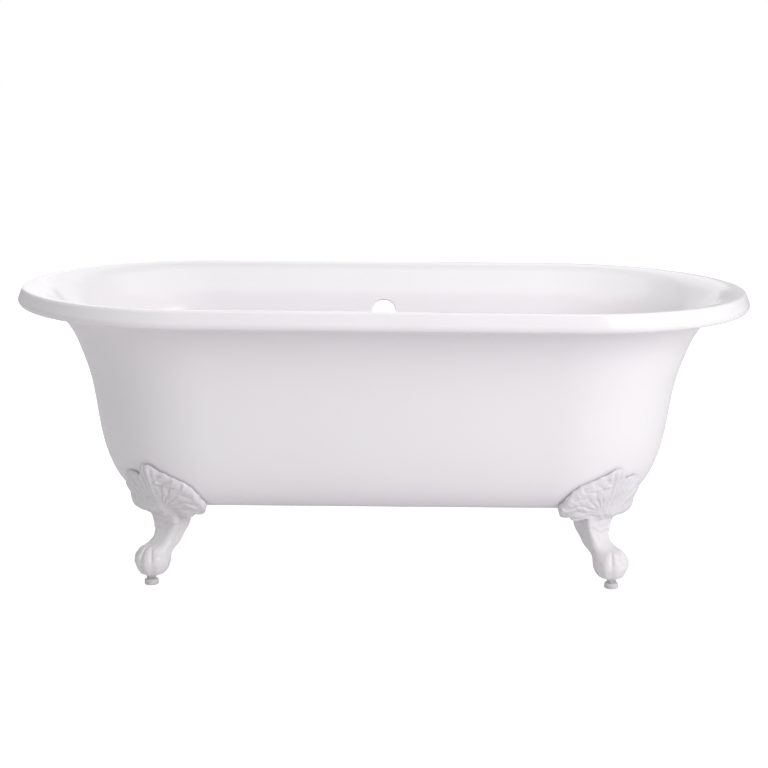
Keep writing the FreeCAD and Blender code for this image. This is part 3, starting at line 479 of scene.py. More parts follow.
def foot_surface():
    step = 1.45
    o = np.arange(-142, 62, step)
    t = np.arange(-86, 128, step)
    z = np.arange(15, 278, step)
    O, T, Z = np.meshgrid(o, t, z, indexing="ij")
    # --- place round the end centre
    rho = np.hypot(O + REACH, T)
    th = np.degrees(np.arctan2(T, O + REACH))
    # distance to the wall in its own section: table on a 1 mm grid
    rr, zz = np.arange(60, 300, 1.0), np.arange(10, 285, 1.0)
    RR, ZZ = np.meshgrid(rr, zz, indexing="ij")
    dist, along = segment_field(RR, ZZ, np.vstack([fine_wall, [[60, 163.2]]]))
    seg_len = wall_s[-1] + 93.0
    along = along * seg_len
    # sign: the tub's side is above and inside the line
    line_z = np.interp(RR, np.r_[60, fine_wall[::-1, 0]], np.r_[163.2, fine_wall[::-1, 1]])
    sgn = np.where((ZZ > line_z) | False, -1.0, 1.0)
    sgn = np.where((ZZ > 163.2) & (RR < np.interp(ZZ, fine_wall[::-1, 1], fine_wall[::-1, 0])), -1.0, sgn)
    sgn = np.where((ZZ > 273) & (RR > 247), 1.0, sgn)

    def table(f):
        fi = np.clip((rho - rr[0]), 0, len(rr) - 1.001)
        fj = np.clip((Z - zz[0]), 0, len(zz) - 1.001)
        i, j = fi.astype(int), fj.astype(int)
        a, b = fi - i, fj - j
        return (f[i, j] * (1 - a) * (1 - b) + f[i + 1, j] * a * (1 - b) + f[i, j + 1] * (1 - a) * b + f[i + 1, j + 1] * a * b)

    dw = table(dist * sgn)
    v = table(along)
    r_wall = np.interp(v, wall_s, fine_wall[:, 0])
    u = np.radians(th - LEAF_MID) * np.clip(r_wall, 150, 260)
    # --- the leaf's relief, looked up on a flat map
    us, vs = np.arange(-150, 150, 1.0), np.arange(-10, 200, 1.0)
    UU, VV = np.meshgrid(us, vs, indexing="ij")
    edge = inside_outline(UU, VV, leaf_outline)
    base = np.interp(VV, [0, 30, 50, 70, 88, 102, 115, 130, 150], [8.0, 8.5, 9.0, 10.5, 12.5, 15.0, 17.0, 18.5, 19.0])
    relief = np.zeros(UU.shape)
    for pts, w, hgt in leaf_ridges:
        d, al = segment_field(UU, VV, np.asarray(spline(pts, 30)))
        relief = np.maximum(relief, hgt * np.exp(-(d / w) ** 2) * np.clip(0.55 + 0.75 * (1 - al), 0, 1.1))
    for pts, w, hgt in leaf_veins:
        d, al = segment_field(UU, VV, np.asarray(spline(pts, 30)))
        relief -= hgt * np.exp(-(d / w) ** 2) * np.clip(0.35 + 1.1 * (1 - al), 0.2, 1.0)
    # the inner half: leaflets which fan out from the stem, each overlapping the next with a soft step
    cu, cv = UU - 2.0, 121.0 - VV
    far = np.hypot(cu, cv)
    fan = np.degrees(np.arctan2(cv, np.maximum(cu, 0.5)))
    fan = (fan + 5.0 * np.sin(far * 0.085 + 0.6) + 2.0 * np.sin(far * 0.19)) / 17.5 + 0.35
    fr = fan - np.floor(fan)
    step_ = np.clip((fr - 0.78) / 0.22, 0, 1)
    lip = np.sin(np.clip(fr, 0, 1) * 0.5 * math.pi) ** 1.2 * (1 - step_ ** 2 * (3 - 2 * step_))
    half = np.clip((UU - 4) / 8, 0, 1) * np.clip((far - 4) / 20, 0, 1)
    relief += half * 4.4 * (lip - 0.45) * (0.75 + 0.35 * np.sin(np.floor(fan) * 2.3 + 1.0))
    # a fine midrib along each leaflet
    relief += half * 0.8 * np.exp(-((fr - 0.42) / 0.08) ** 2)
    relief += half * 0.8 * np.sin(far * 0.21 + np.floor(fan) * 1.7)
    # toward the edge the folds run out into a smooth lip
    relief *= 0.35 + 0.65 * np.clip((-edge - 1.5) / 7, 0, 1)
    relief *= 0.80
    # a turned-over tip in the middle, and the pockets where the stems meet
    relief += 4.2 * np.exp(-((UU - 12) / 5.0) ** 2 - ((VV - 62 - 0.35 * (UU - 12)) / 3.4) ** 2)
    relief -= 2.6 * np.exp(-((UU - 13) / 6.0) ** 2 - ((VV - 69.5 - 0.35 * (UU - 12)) / 3.4) ** 2)
    relief += 2.4 * np.exp(-((UU - 46) / 15) ** 2 - ((VV - 70 - 0.10 * (UU - 46)) / 3.2) ** 2)
    # pockets just above the lower lip
    relief -= 3.6 * np.exp(-((UU + 3) / 4.5) ** 2 - ((VV - 128) / 5.0) ** 2)
    relief -= 5.5 * np.exp(-((UU - 24) / 10.0) ** 2 - ((VV - 131 - 0.08 * (UU - 24)) / 3.4) ** 2)
    relief -= 3.0 * np.exp(-((UU - 52) / 9.0) ** 2 - ((VV - 136) / 3.2) ** 2)
    # the lower lip stands out over the shank, then the leaf is undercut
    inner = 1 / (1 + np.exp(-np.clip((UU - 10) / 7.0, -30, 30)))
    rise = 1 / (1 + np.exp(-np.clip((VV - (118 + 10 * inner)) / 4.5, -30, 30)))
    end_v = 141.0 + 2.2 * np.sin(UU * 0.16 + 0.5) + 1.2 * np.sin(UU * 0.37)
    drop = np.clip((VV - end_v) / 4.0, 0, 1)
    relief += (12.0 - 3.5 * inner) * rise * (1 - drop) * np.clip((74 - UU) / 20, 0, 1)
    relief -= 7.5 * drop * np.clip((58 - UU) / 12, 0, 1)
    # a soft round lobe at the foot of the outer flutes
    relief += 2.5 * np.exp(-((UU + 22) / 18.0) ** 2 - ((VV - 122) / 9.0) ** 2)
    # small wrinkles of the casting
    relief += 0.45 * np.sin(VV * 0.5 + UU * 0.21) * np.sin(UU * 0.27 - VV * 0.1) * np.clip(-edge / 10, 0, 1)
    lift = base + relief
    # thins and rounds off to the edge
    rim_fall = np.clip(-edge / 9.0, 0, 1)
    lift = lift * (0.5 + 0.5 * np.sqrt(np.clip(1 - (1 - rim_fall) ** 2, 0, 1)))

    def flat(f):
        fi = np.clip(u - us[0], 0, len(us) - 1.001)
        fj = np.clip(v - vs[0], 0, len(vs) - 1.001)
        i, j = fi.astype(int), fj.astype(int)
        a, b = fi - i, fj - j
        return (f[i, j] * (1 - a) * (1 - b) + f[i + 1, j] * a * (1 - b) + f[i, j + 1] * (1 - a) * b + f[i + 1, j + 1] * a * b)

    leaf = smax((dw - flat(lift)) * 0.85, flat(edge), 3.0)
    hem = 138.5 + 1.0 * np.sin((T - 0.5 * O) * 0.11) + 0.16 * np.maximum(T - 30.0, 0.0) + 3.0 * np.clip((O + 30) / 30, 0, 1)
    leaf = smax(leaf, hem - Z, 4.0)
    leaf = smax(leaf, 150.0 - rho, 2.0)
    # --- the leg: rounded rectangles stacked up the height
    lev = np.array([22, 30, 46, 62, 74, 84, 93, 104, 118, 134, 172.0])
    cen_o = np.array([-4, -5, -6, -9, -22.5, -35, -42, -48, -53, -52, -52.0])
    cen_t = np.array([0, 0, 0, 1.5, 3, 6.5, 8.5, 10, 11.5, 12.5, 12.5])
    dep = np.array([17, 26, 34, 34.5, 31.5, 28.5, 27, 26.5, 27.5, 28.0, 28.0])
    bre = np.array([17, 26, 34, 33.5, 29.5, 27.0, 25.0, 25.5, 29.0, 33.0, 33.5])
    rad = np.array([16.5, 25.5, 33.5, 33, 26, 18, 14, 12, 11, 11, 11.0])
    zc = np.clip(Z, 22, 172)
    sm = [spline(np.column_stack([lev, q]), 90) for q in (cen_o, cen_t, dep, bre, rad)]
    co, ct, a_, b_, r_ = [np.interp(zc, q[:, 0], q[:, 1]) for q in sm]
    x, y = np.abs(O - co), np.abs(T - ct)
    qx, qy = x - (a_ - r_), y - (b_ - r_)
    leg = np.hypot(np.maximum(qx, 0), np.maximum(qy, 0)) + np.minimum(np.maximum(qx, qy), 0) - r_
    # the side faces are hollowed a little, which leaves a soft ridge down the front corners
    fade = 1 / (1 + np.exp(-(Z - 103) / 5.0))
    leg += 1.6 * fade * np.exp(-((x + 4) / (a_ * 0.5)) ** 2) * np.clip((y - b_ * 0.5) / 6, 0, 1)
    leg += 0.7 * fade * np.exp(-(y / (b_ * 0.55)) ** 2) * np.clip((O - co - a_ * 0.4) / 6, 0, 1)
    bead = np.hypot(O - co - (a_ - 4.4), y - (b_ - 4.4)) - 3.0 + 6.0 * (1 - fade)
    leg = smin(leg, bead, 3.5)
    leg = leg * 0.9
    leg = smax(leg, 21.8 - Z, 3.0)
    leg = smax(leg, Z - 171.0, 2.0)
    # a plain band and a soft swag round the top of the shank
    swag_z = 134.0 - 3.5 * np.cos((T - 10) / 33.0 * math.pi)
    leg -= 1.3 / (1 + np.exp(-np.clip((Z - swag_z) / 1.8, -30, 30))) * np.clip((O + 80) / 8, 0, 1)
    slant = 122.0 + 0.28 * (T - 10)
    wave = slant - 3.2 * np.sin((T - 4) * 0.16)
    front = np.clip((O - co + 4) / 12, 0, 1)
    leg -= 1.0 * front * np.exp(-((Z - wave) / 3.0) ** 2)
    leg += 0.8 * front * np.exp(-((Z - wave + 6.0) / 3.0) ** 2)
    # --- the paw: a ball and four toes which close on it
    P = np.stack([O, T, Z], axis=-1)
    ball = np.sqrt((O + 5) ** 2 + T ** 2 + (Z - 49) ** 2) - 34.2
    ball = smax(ball, 21.8 - Z, 4.0)
    toes = None
    for k, phi in enumerate((-56, -19, 19, 56)):
        f = math.radians(phi)
        d0 = np.array([math.cos(f), math.sin(f)])
        c = np.array([-6.0, 0.0])
        K = [np.array([-40 + 5 * d0[0], 6 + 14 * d0[1], 86]), np.array([*(c + 18 * d0), 69]), np.array([*(c + 26.5 * d0), 58]), np.array([*(c + 28.8 * d0), 48]), np.array([*(c + 27.5 * d0), 41])]
        R = [8.0, 11.2, 10.9, 9.4, 7.2]
        one = None
        for a, b, ra, rb in zip(K[:-1], K[1:], R[:-1], R[1:]):
            q = capsule(P, a, b, ra, rb)
            one = q if one is None else smin(one, q, 3.0)
        # two knuckle folds
        one = one - 0.6 * np.exp(-((Z - 74.5 + 0.1 * O) / 2.2) ** 2) - 0.4 * np.exp(-((Z - 68.5 + 0.1 * O) / 2.0) ** 2)
        # the claw lies flat on the ball
        claw = None
        C = [np.array([*(c + 29.0 * d0), 45]), np.array([*(c + 30.6 * d0), 37]), np.array([*(c + 26.0 * d0), 28]), np.array([*(c + 20.0 * d0), 23.0])]
        RC_ = [5.4, 4.4, 3.2, 1.8]
        for a, b, ra, rb in zip(C[:-1], C[1:], RC_[:-1], RC_[1:]):
            q = capsule(P, a, b, ra, rb)
            claw = q if claw is None else smin(claw, q, 2.0)
        one = smin(one, claw, 2.0)
        toes = one if toes is None else smin(toes, one, 2.4)
    paw = smin(ball, toes, 4.0)
    body = smin(leg, paw, 7.0)
    # creases between the toes, from the instep to where they meet the ball
    for k, phi in enumerate((-37, 0, 37)):
        f = math.radians(phi)
        d0 = np.array([math.cos(f), math.sin(f)])
        c = np.array([-6.0, 0.0])
        K = [np.array([*(c + 16 * d0), 84]), np.array([*(c + 28.0 * d0), 73]), np.array([*(c + 36.0 * d0), 62]), np.array([*(c + 39.2 * d0), 54]), np.array([*(c + 39.5 * d0), 46])]
        g = None
        for a, b, ra, rb in zip(K[:-1], K[1:], (0.3, 1.8, 2.6, 2.2), (1.8, 2.6, 2.2, 0.4)):
            q = capsule(P, a, b, ra, rb)
            g = q if g is None else np.minimum(g, q)
        body = smax(body, -g, 2.4)
    body = smax(body, 21.8 - Z, 2.5)
    # the leg runs out under the leaf's lower edge
    all_ = smin(leaf, body, 5.0)
    # shelf for the bolt
    qx = np.hypot(np.maximum(np.abs(O + 87.5) - 44.5, 0), np.maximum(np.abs(T) - 20.0, 0)) - 3.0
    shelf = np.maximum(qx, np.abs(Z - 143) - 5.0)
    all_ = smin(all_, shelf, 2.5)
    # room for the tub, the lug, the bolt and the stud
    edge_v = flat(edge)
    gap = 0.7 + 2.2 * np.exp(-(np.minimum(edge_v, 0) / 8.0) ** 2) * (Z > 166)
    gap += 5.0 * np.exp(-((u + 44) / 13) ** 2 - ((v - 27) / 6.0) ** 2)
    all_ = smax(all_, gap - dw, 0.8)
    lug = np.maximum(np.maximum(np.abs(O + 108) - 25.6, np.abs(T) - 22.6), 148.0 - Z)
    all_ = np.maximum(all_, -lug)
    all_ = np.maximum(all_, -(np.maximum(np.hypot(O + 108, T) - 5.75, np.abs(Z - 143) - 12)))
    nut = np.maximum(np.hypot(O + 108, T) - 12.5, Z - 138.0)
    all_ = np.maximum(all_, -nut)
    all_ = np.maximum(all_, -(np.maximum(np.hypot(O, T) - 6.3, Z - 56)))
    return o, t, z, all_, th, dw


def surface_nets(o, t, z, f):
    """The zero surface of f as quads: one vertex in each cell that the surface crosses."""
    inside = f < 0
    nx, ny, nz = f.shape
    cell = np.zeros((nx - 1, ny - 1, nz - 1), int)
    for a in (0, 1):
        for b in (0, 1):
            for c in (0, 1):
                cell += inside[a:nx - 1 + a, b:ny - 1 + b, c:nz - 1 + c]
    active = (cell > 0) & (cell < 8)
    idx = np.full(cell.shape, -1, int)
    cells = np.argwhere(active)
    idx[active] = np.arange(len(cells))
    total = np.zeros((len(cells), 3))
    count = np.zeros(len(cells))
    i, j, k = cells.T
    corners = [(a, b, c) for a in (0, 1) for b in (0, 1) for c in (0, 1)]
    for p in corners:
        for ax in range(3):
            if p[ax]:
                continue
            q = list(p)
            q[ax] = 1
            fa, fb = f[i + p[0], j + p[1], k + p[2]], f[i + q[0], j + q[1], k + q[2]]
            m = (fa < 0) != (fb < 0)
            w = np.where(m, fa / np.where(m, fa - fb, 1), 0)
            pos = np.array(p, float)[None] + np.eye(3)[ax][None] * w[:, None]
            total[m] += pos[m]
            count[m] += 1
    pos = total / count[:, None] + cells
    st = np.array([o[1] - o[0], t[1] - t[0], z[1] - z[0]])
    verts = pos * st + np.array([o[0], t[0], z[0]])
    quads = []
    for ax in range(3):
        fa = np.moveaxis(inside, ax, 0)
        change = fa[:-1] != fa[1:]
        flip = fa[:-1] & ~fa[1:]
        ed = np.argwhere(change[:, 1:-1, 1:-1])
        e = ed[:, 0]
        b, c = ed[:, 1] + 1, ed[:, 2] + 1
        mv = np.moveaxis(idx, ax, 0)
        q = np.column_stack([mv[e, b - 1, c - 1], mv[e, b, c - 1], mv[e, b, c], mv[e, b - 1, c]])
        fl = flip[:, 1:-1, 1:-1][tuple(ed.T)]
        if ax == 1:
            fl = ~fl
        q[~fl] = q[~fl][:, ::-1]
        quads.append(q)
    quads = np.vstack(quads)
    quads = quads[(quads >= 0).all(1)]
    return verts, quads


def largest_piece(verts, quads):
    parent = np.arange(len(verts))
    for _ in range(200):
        m = parent[quads].min(axis=1)
        new = parent.copy()
        for c in range(4):
            np.minimum.at(new, quads[:, c], m)
        new = new[new]
        if (new == parent).all():
            break
        parent = new
    lab = parent[quads[:, 0]]
    best = np.bincount(lab).argmax()
    quads = quads[lab == best]
    used = np.unique(quads)
    remap = np.full(len(verts), -1)
    remap[used] = np.arange(len(used))
    return verts[used], remap[quads]


def relax(verts, quads, rounds, amount=0.5):
    e = np.vstack([quads[:, [0, 1]], quads[:, [1, 2]], quads[:, [2, 3]], quads[:, [3, 0]]])
    e = np.vstack([e, e[:, ::-1]])
    n = np.bincount(e[:, 0], minlength=len(verts))[:, None]
    for r in range(rounds):
        for amt in (amount, -amount * 1.04):
            s = np.zeros_like(verts)
            for c in range(3):
                s[:, c] = np.bincount(e[:, 0], weights=verts[e[:, 1], c], minlength=len(verts))
            verts = verts + (s / n - verts) * amt
    return verts


fo, ft, fz, field, fth, fdw = foot_surface()
fv, fq = surface_nets(fo, ft, fz, field)
fv, fq = largest_piece(fv, fq)
fv = relax(fv, fq, 3)
print("foot faces", len(fq), "box", fv.min(0).round(1).tolist(), fv.max(0).round(1).tolist())
del field, fth, fdw


# ------------------------------------------------------------------ materials
def principled(name, **sockets):
    mat = bpy.data.materials.new(name)
    mat.use_nodes = True
    nt = mat.node_tree
    b = nt.nodes["Principled BSDF"]
    for k, v in sockets.items():
        b.inputs[k].default_value = v
    return mat, nt, b


def noise(nt, scale, detail=3.0, rough=0.5, coords=None, dist=0.0):
    n = nt.nodes.new("ShaderNodeTexNoise")
    n.inputs["Scale"].default_value = scale
    n.inputs["Detail"].default_value = detail
    n.inputs["Roughness"].default_value = rough
    n.inputs["Distortion"].default_value = dist
    if coords is not None:
        nt.links.new(coords, n.inputs["Vector"])
    return n


def ramp(nt, value, stops):
    r = nt.nodes.new("ShaderNodeValToRGB")
    e = r.color_ramp.elements
    while len(e) < len(stops):
        e.new(0.5)
    for el, (p, c) in zip(e, stops):
        el.position = p
        el.color = (c[0], c[1], c[2], 1) if isinstance(c, (tuple, list)) else (c, c, c, 1)
    nt.links.new(value, r.inputs["Fac"])
    return r


def enamel(name, tint, rough, wave=0.02, speck=0.0):
    mat, nt, b = principled(name)
    geo = nt.nodes.new("ShaderNodeTexCoord")
    o = geo.outputs["Object"]
    broad = noise(nt, 3.2, 3, 0.5, o)
    c = ramp(nt, broad.outputs["Fac"], [(0.3, tuple(t * 0.985 for t in tint)), (0.7, tint)])
    nt.links.new(c.outputs["Color"], b.inputs["Base Color"])
    fine = noise(nt, 40, 4, 0.55, o)
    r = ramp(nt, fine.outputs["Fac"], [(0.3, rough * 0.8), (0.75, rough * 1.25)])
    nt.links.new(r.outputs["Color"], b.inputs["Roughness"])
    peel = noise(nt, 150, 2, 0.5, o)
    bump = nt.nodes.new("ShaderNodeBump")
    bump.inputs["Strength"].default_value = wave
    bump.inputs["Distance"].default_value = 0.001
    nt.links.new(peel.outputs["Fac"], bump.inputs["Height"])
    nt.links.new(bump.outputs["Normal"], b.inputs["Normal"])
    b.inputs["IOR"].default_value = 1.5
    return mat


enamel_in = enamel("porcelain_enamel", (0.889, 0.866, 0.893), 0.16)
tub.data.materials.append(enamel_in)
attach(tub, "tub")
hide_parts("tub_casting")

paint = enamel("painted_iron", (0.845, 0.824, 0.847), 0.3, 0.012)
# painted shade: the base colour is darkened in the carving's recesses, driven by pointiness
nt = paint.node_tree
geo = nt.nodes.new("ShaderNodeNewGeometry")
recess_painted_shade = ramp(nt, geo.outputs["Pointiness"], [(0.40, (0.60, 0.595, 0.58)), (0.495, (1.0, 1.0, 1.0))])
mul = nt.nodes.new("ShaderNodeMix")
mul.data_type = "RGBA"
mul.blend_type = "MULTIPLY"
mul.inputs["Factor"].default_value = 0.55
bsdf = nt.nodes["Principled BSDF"]
src = bsdf.inputs["Base Color"].links[0].from_socket
nt.links.new(src, mul.inputs[6])
nt.links.new(recess_painted_shade.outputs["Color"], mul.inputs[7])
# painted shade: the base colour is a little darker up in the carving, under the tub's bottom, than on the paw
tc = nt.nodes.new("ShaderNodeTexCoord")
sep = nt.nodes.new("ShaderNodeSeparateXYZ")
nt.links.new(tc.outputs["Object"], sep.inputs[0])
high = nt.nodes.new("ShaderNodeMapRange")
high.inputs["From Min"].default_value = 0.085
high.inputs["From Max"].default_value = 0.165
nt.links.new(sep.outputs["Z"], high.inputs["Value"])
carving_painted_shade = ramp(nt, high.outputs["Result"], [(0.0, (1.0, 1.0, 1.0)), (1.0, (0.93, 0.93, 0.935))])
mul2 = nt.nodes.new("ShaderNodeMix")
mul2.data_type = "RGBA"
mul2.blend_type = "MULTIPLY"
mul2.inputs["Factor"].default_value = 1.0
nt.links.new(mul.outputs[2], mul2.inputs[6])
nt.links.new(carving_painted_shade.outputs["Color"], mul2.inputs[7])
nt.links.new(mul2.outputs[2], bsdf.inputs["Base Color"])


def metal(name, tint, rough, brushed):
    mat, nt, b = principled(name, Metallic=1.0)
    tc = nt.nodes.new("ShaderNodeTexCoord")
    n1 = noise(nt, 55, 4, 0.6, tc.outputs["Object"])
    c = ramp(nt, n1.outputs["Fac"], [(0.3, tuple(t * 0.8 for t in tint)), (0.7, tint)])
    nt.links.new(c.outputs["Color"], b.inputs["Base Color"])
    n2 = noise(nt, 400, 3, 0.6, tc.outputs["Object"])
    r = ramp(nt, n2.outputs["Fac"], [(0.3, rough * 0.75), (0.75, rough * 1.35)])
    nt.links.new(r.outputs["Color"], b.inputs["Roughness"])
    bump = nt.nodes.new("ShaderNodeBump")
    bump.inputs["Strength"].default_value = brushed
    bump.inputs["Distance"].default_value = 0.0004
    nt.links.new(n2.outputs["Fac"], bump.inputs["Height"])
    nt.links.new(bump.outputs["Normal"], b.inputs["Normal"])
    return mat


steel = metal("zinc_plated_steel", (0.80, 0.795, 0.77), 0.42, 0.15)
nylon, wnt, wb = principled("white_nylon")
tc = wnt.nodes.new("ShaderNodeTexCoord")
n1 = noise(wnt, 60, 3, 0.5, tc.outputs["Object"])
c = ramp(wnt, n1.outputs["Fac"], [(0.3, (0.66, 0.645, 0.66)), (0.7, (0.71, 0.695, 0.71))])
wnt.links.new(c.outputs["Color"], wb.inputs["Base Color"])
r = ramp(wnt, n1.outputs["Fac"], [(0.3, 0.36), (0.7, 0.48)])
wnt.links.new(r.outputs["Color"], wb.inputs["Roughness"])
wb.inputs["Subsurface Weight"].default_value = 0.06
wb.inputs["Subsurface Radius"].default_value = (0.003, 0.003, 0.003)

# ------------------------------------------------------------------ feet, fasteners, levellers
CORNERS = {"front_right": (1, -1), "front_left": (-1, -1), "rear_right": (1, 1), "rear_left": (-1, 1)}
cosf, sinf = math.cos(ANG), math.sin(ANG)


def local_to_world(p, sx, sy, reach=REACH):
    p = np.asarray(p, float)
    ox, oy = sx * cosf, sy * sinf
    tx, ty = -sx * sinf, sy * cosf
    cx, cy_ = sx * (FOOT_X + reach * cosf), sy * reach * sinf
    return np.column_stack([cx + p[:, 0] * ox + p[:, 1] * tx, cy_ + p[:, 0] * oy + p[:, 1] * ty, p[:, 2]])


def lathe(profile, n=48, phase=0.0):
    """Turned part: closed (radius, z) profile round the z axis; a point at radius 0 makes a pole."""
    v, f, rows = [], [], []
    for r, z in profile:
        if r < 1e-6:
            rows.append([len(v)] * n)
            v.append((0, 0, z))
        else:
            rows.append(list(range(len(v), len(v) + n)))
            v += [(r * math.cos(phase + 2 * math.pi * k / n), r * math.sin(phase + 2 * math.pi * k / n), z) for k in range(n)]
    for a, b in zip(rows[:-1], rows[1:]):
        for k in range(n):
            q = [a[k], a[(k + 1) % n], b[(k + 1) % n], b[k]]
            q = [x for i, x in enumerate(q) if x != q[i - 1]]
            if len(q) > 2:
                f.append(q)
    return np.array(v, float), f


def hex_nut(flats, hole, z0, z1, turn=0.0, chamfer_top=True, chamfer_bottom=True, n=72):
    """A nut with both faces chamfered to its inscribed circle and a countersunk hole."""
    R = flats / 2
    v, f = [], []
    ring = []

    def radius(a):
        a = (a - turn) % (math.pi / 3)
        return R / math.cos(a - math.pi / 6)

    angles = [2 * math.pi * k / n for k in range(n)]
    rows = []

    def row(fn):
        start = len(v)
        for a in angles:
            r, z = fn(a)
            v.append((r * math.cos(a), r * math.sin(a), z))
        rows.append(list(range(start, start + n)))

    lead = 0.9
    row(lambda a: (hole, z0 + lead * 0.8))
    row(lambda a: (hole + lead, z0))
    row(lambda a: (R * 0.94, z0))
    row(lambda a: (min(radius(a), R * 0.94 + (radius(a) - R * 0.94)), z0 + (radius(a) - R * 0.94) * 0.5 if chamfer_bottom else z0))
    row(lambda a: (radius(a), z0 + (z1 - z0) * 0.35))
    row(lambda a: (radius(a), z0 + (z1 - z0) * 0.65))
    row(lambda a: (radius(a), z1 - (radius(a) - R * 0.94) * 0.5 if chamfer_top else z1))
    row(lambda a: (R * 0.94, z1))
    row(lambda a: (hole + lead, z1))
    row(lambda a: (hole, z1 - lead * 0.8))
    rows.append(rows[0])
    for a, b in zip(rows[:-1], rows[1:]):
        for k in range(n):
            f.append([a[k], a[(k + 1) % n], b[(k + 1) % n], b[k]])
    return np.array(v, float), f


def thread(radius, z0, z1, pitch, depth, n=40, below=None, above=None, per_turn=8):
    """A bolt shank with a helical thread, closed at both ends with a chamfer. Extra profile points may carry on below or above."""
    rows = int((z1 - z0) / pitch * per_turn)
    v, f = [], []
    prof = below or [(0.0, z0 - 0.6), (radius - depth - 0.4, z0 - 0.6)]
    idx = []

    def add_ring(fn):
        idx.append(list(range(len(v), len(v) + n)))
        for k in range(n):
            a = 2 * math.pi * k / n
            r, z = fn(a)
            v.append((r * math.cos(a), r * math.sin(a), z))

    for r, z in prof:
        if r < 1e-6:
            idx.append([len(v)] * n)
            v.append((0, 0, z))
        else:
            add_ring(lambda a, r=r, z=z: (r, z))
    for k in range(rows + 1):
        z = z0 + (z1 - z0) * k / rows
        ease = min(1.0, k / per_turn, (rows - k) / per_turn)

        def fn(a, z=z, ease=ease):
            ph = ((z / pitch) - a / (2 * math.pi)) % 1.0
            tri = abs(ph * 2 - 1)
            return (radius - depth * ease * (1 - min(1.0, max(0.0, (tri - 0.08) / 0.8))) - depth * (1 - ease) * 0.9, z)
        add_ring(fn)
    for r, z in (above or [(radius - depth - 0.4, z1 + 0.6), (0.0, z1 + 0.6)]):
        if r < 1e-6:
            idx.append([len(v)] * n)
            v.append((0, 0, z))
        else:
            add_ring(lambda a, r=r, z=z: (r, z))
    for a, b in zip(idx[:-1], idx[1:]):
        for k in range(n):
            q = [a[k], a[(k + 1) % n], b[(k + 1) % n], b[k]]
            q = [x for i, x in enumerate(q) if x != q[i - 1]]
            if len(q) > 2:
                f.append(q)
    return np.array(v, float), f


def sharp_edges(o, angle=32):
    me = o.data
    bm = bmesh.new()
    bm.from_mesh(me)
    bmesh.ops.recalc_face_normals(bm, faces=bm.faces)
    lim = math.radians(angle)
    for e in bm.edges:
        if len(e.link_faces) == 2:
            e.smooth = e.calc_face_angle(0) < lim
    bm.to_mesh(me)
    bm.free()


def part(name, geometry, corner, body, node, mat, reach=REACH, sharp=True):
    sx, sy = CORNERS[corner]
    v, f = geometry
    o = mesh_object(name + "_" + corner, local_to_world(v, sx, sy, reach), f, mat)
    if sharp:
        sharp_edges(o)
    else:
        bm = bmesh.new()
        bm.from_mesh(o.data)
        bmesh.ops.recalc_face_normals(bm, faces=bm.faces)
        bm.to_mesh(o.data)
        bm.free()
    o.data.polygons.foreach_set("use_smooth", np.ones(len(o.data.polygons), bool))
    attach(o, body)
    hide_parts(node)
    return o


# levelling pad: rounded disc with a grooved side, a dished underside and a snap socket
pad_profile = [(0, 1.2), (8.5, 1.2), (9.6, 0.9), (10.4, 0.15), (11.0, 0.0), (13.2, 0.0), (14.0, 0.35), (14.5, 1.2), (14.5, 4.6), (14.2, 5.0), (14.2, 5.6), (14.5, 6.0),
               (14.5, 8.2), (14.1, 9.6), (13.2, 10.7), (12.0, 11.4), (10.6, 11.8), (9.4, 12.0), (8.1, 12.0), (7.6, 11.7), (7.5, 11.2), (7.5, 7.2), (0, 7.0)]
pad_geo = lathe(pad_profile, 64)


def stud_geometry():
    v1, f1 = thread(6.0, 16.0, 51.2, 1.75, 0.95, n=44, below=[(0, 15.6), (5.0, 15.6)], above=[(4.9, 52.0), (0, 52.0)])
    v2, f2 = hex_nut(17, 1.2, 12.0, 16.0)
    v3, f3 = lathe([(0, 7.05), (6.7, 7.05), (7.35, 7.7), (7.35, 11.6), (7.0, 12.2), (0, 12.2)], 48)
    v = np.vstack([v1, v2, v3])
    f = [list(q) for q in f1] + [[i + len(v1) for i in q] for q in f2] + [[i + len(v1) + len(v2) for i in q] for q in f3]
    return v, f


def bolt_geometry():
    """T-headed bolt: square head with softened corners, threaded shank, upside down."""
    v1, f1 = thread(5.0, 118.8, 150.0, 1.5, 0.8, n=40, below=[(0, 118.0), (4.0, 118.0)], above=[(5.0, 152.0), (5.0, 155.8), (0, 155.8)])
    n = 64
    v, rows, f = [], [], []

    def sq(a, h, r):
        c, s_ = abs(math.cos(a)), abs(math.sin(a))
        p = 12.0
        return h / (c ** p + s_ ** p) ** (1 / p)
    for half, z in ((0, 155.5), (7.9, 155.5), (8.5, 156.1), (8.5, 161.9), (7.9, 162.5), (0, 162.5)):
        if half == 0:
            rows.append([len(v)] * n)
            v.append((0, 0, z))
        else:
            rows.append(list(range(len(v), len(v) + n)))
            v += [(sq(2 * math.pi * k / n, half, 1) * math.cos(2 * math.pi * k / n), sq(2 * math.pi * k / n, half, 1) * math.sin(2 * math.pi * k / n), z) for k in range(n)]
    for a, b in zip(rows[:-1], rows[1:]):
        for k in range(n):
            q = [a[k], a[(k + 1) % n], b[(k + 1) % n], b[k]]
            q = [x for i, x in enumerate(q) if x != q[i - 1]]
            if len(q) > 2:
                f.append(q)
    return np.vstack([v1, np.array(v)]), [list(q) for q in f1] + [[i + len(v1) for i in q] for q in f]


def washer(r0, r1, z0, z1, e=0.25):
    return lathe([(r0 + e, z0), (r1 - e, z0), (r1, z0 + e), (r1, z1 - e), (r1 - e, z1), (r0 + e, z1), (r0, z1 - e), (r0, z0 + e), (r0 + e, z0)], 56)


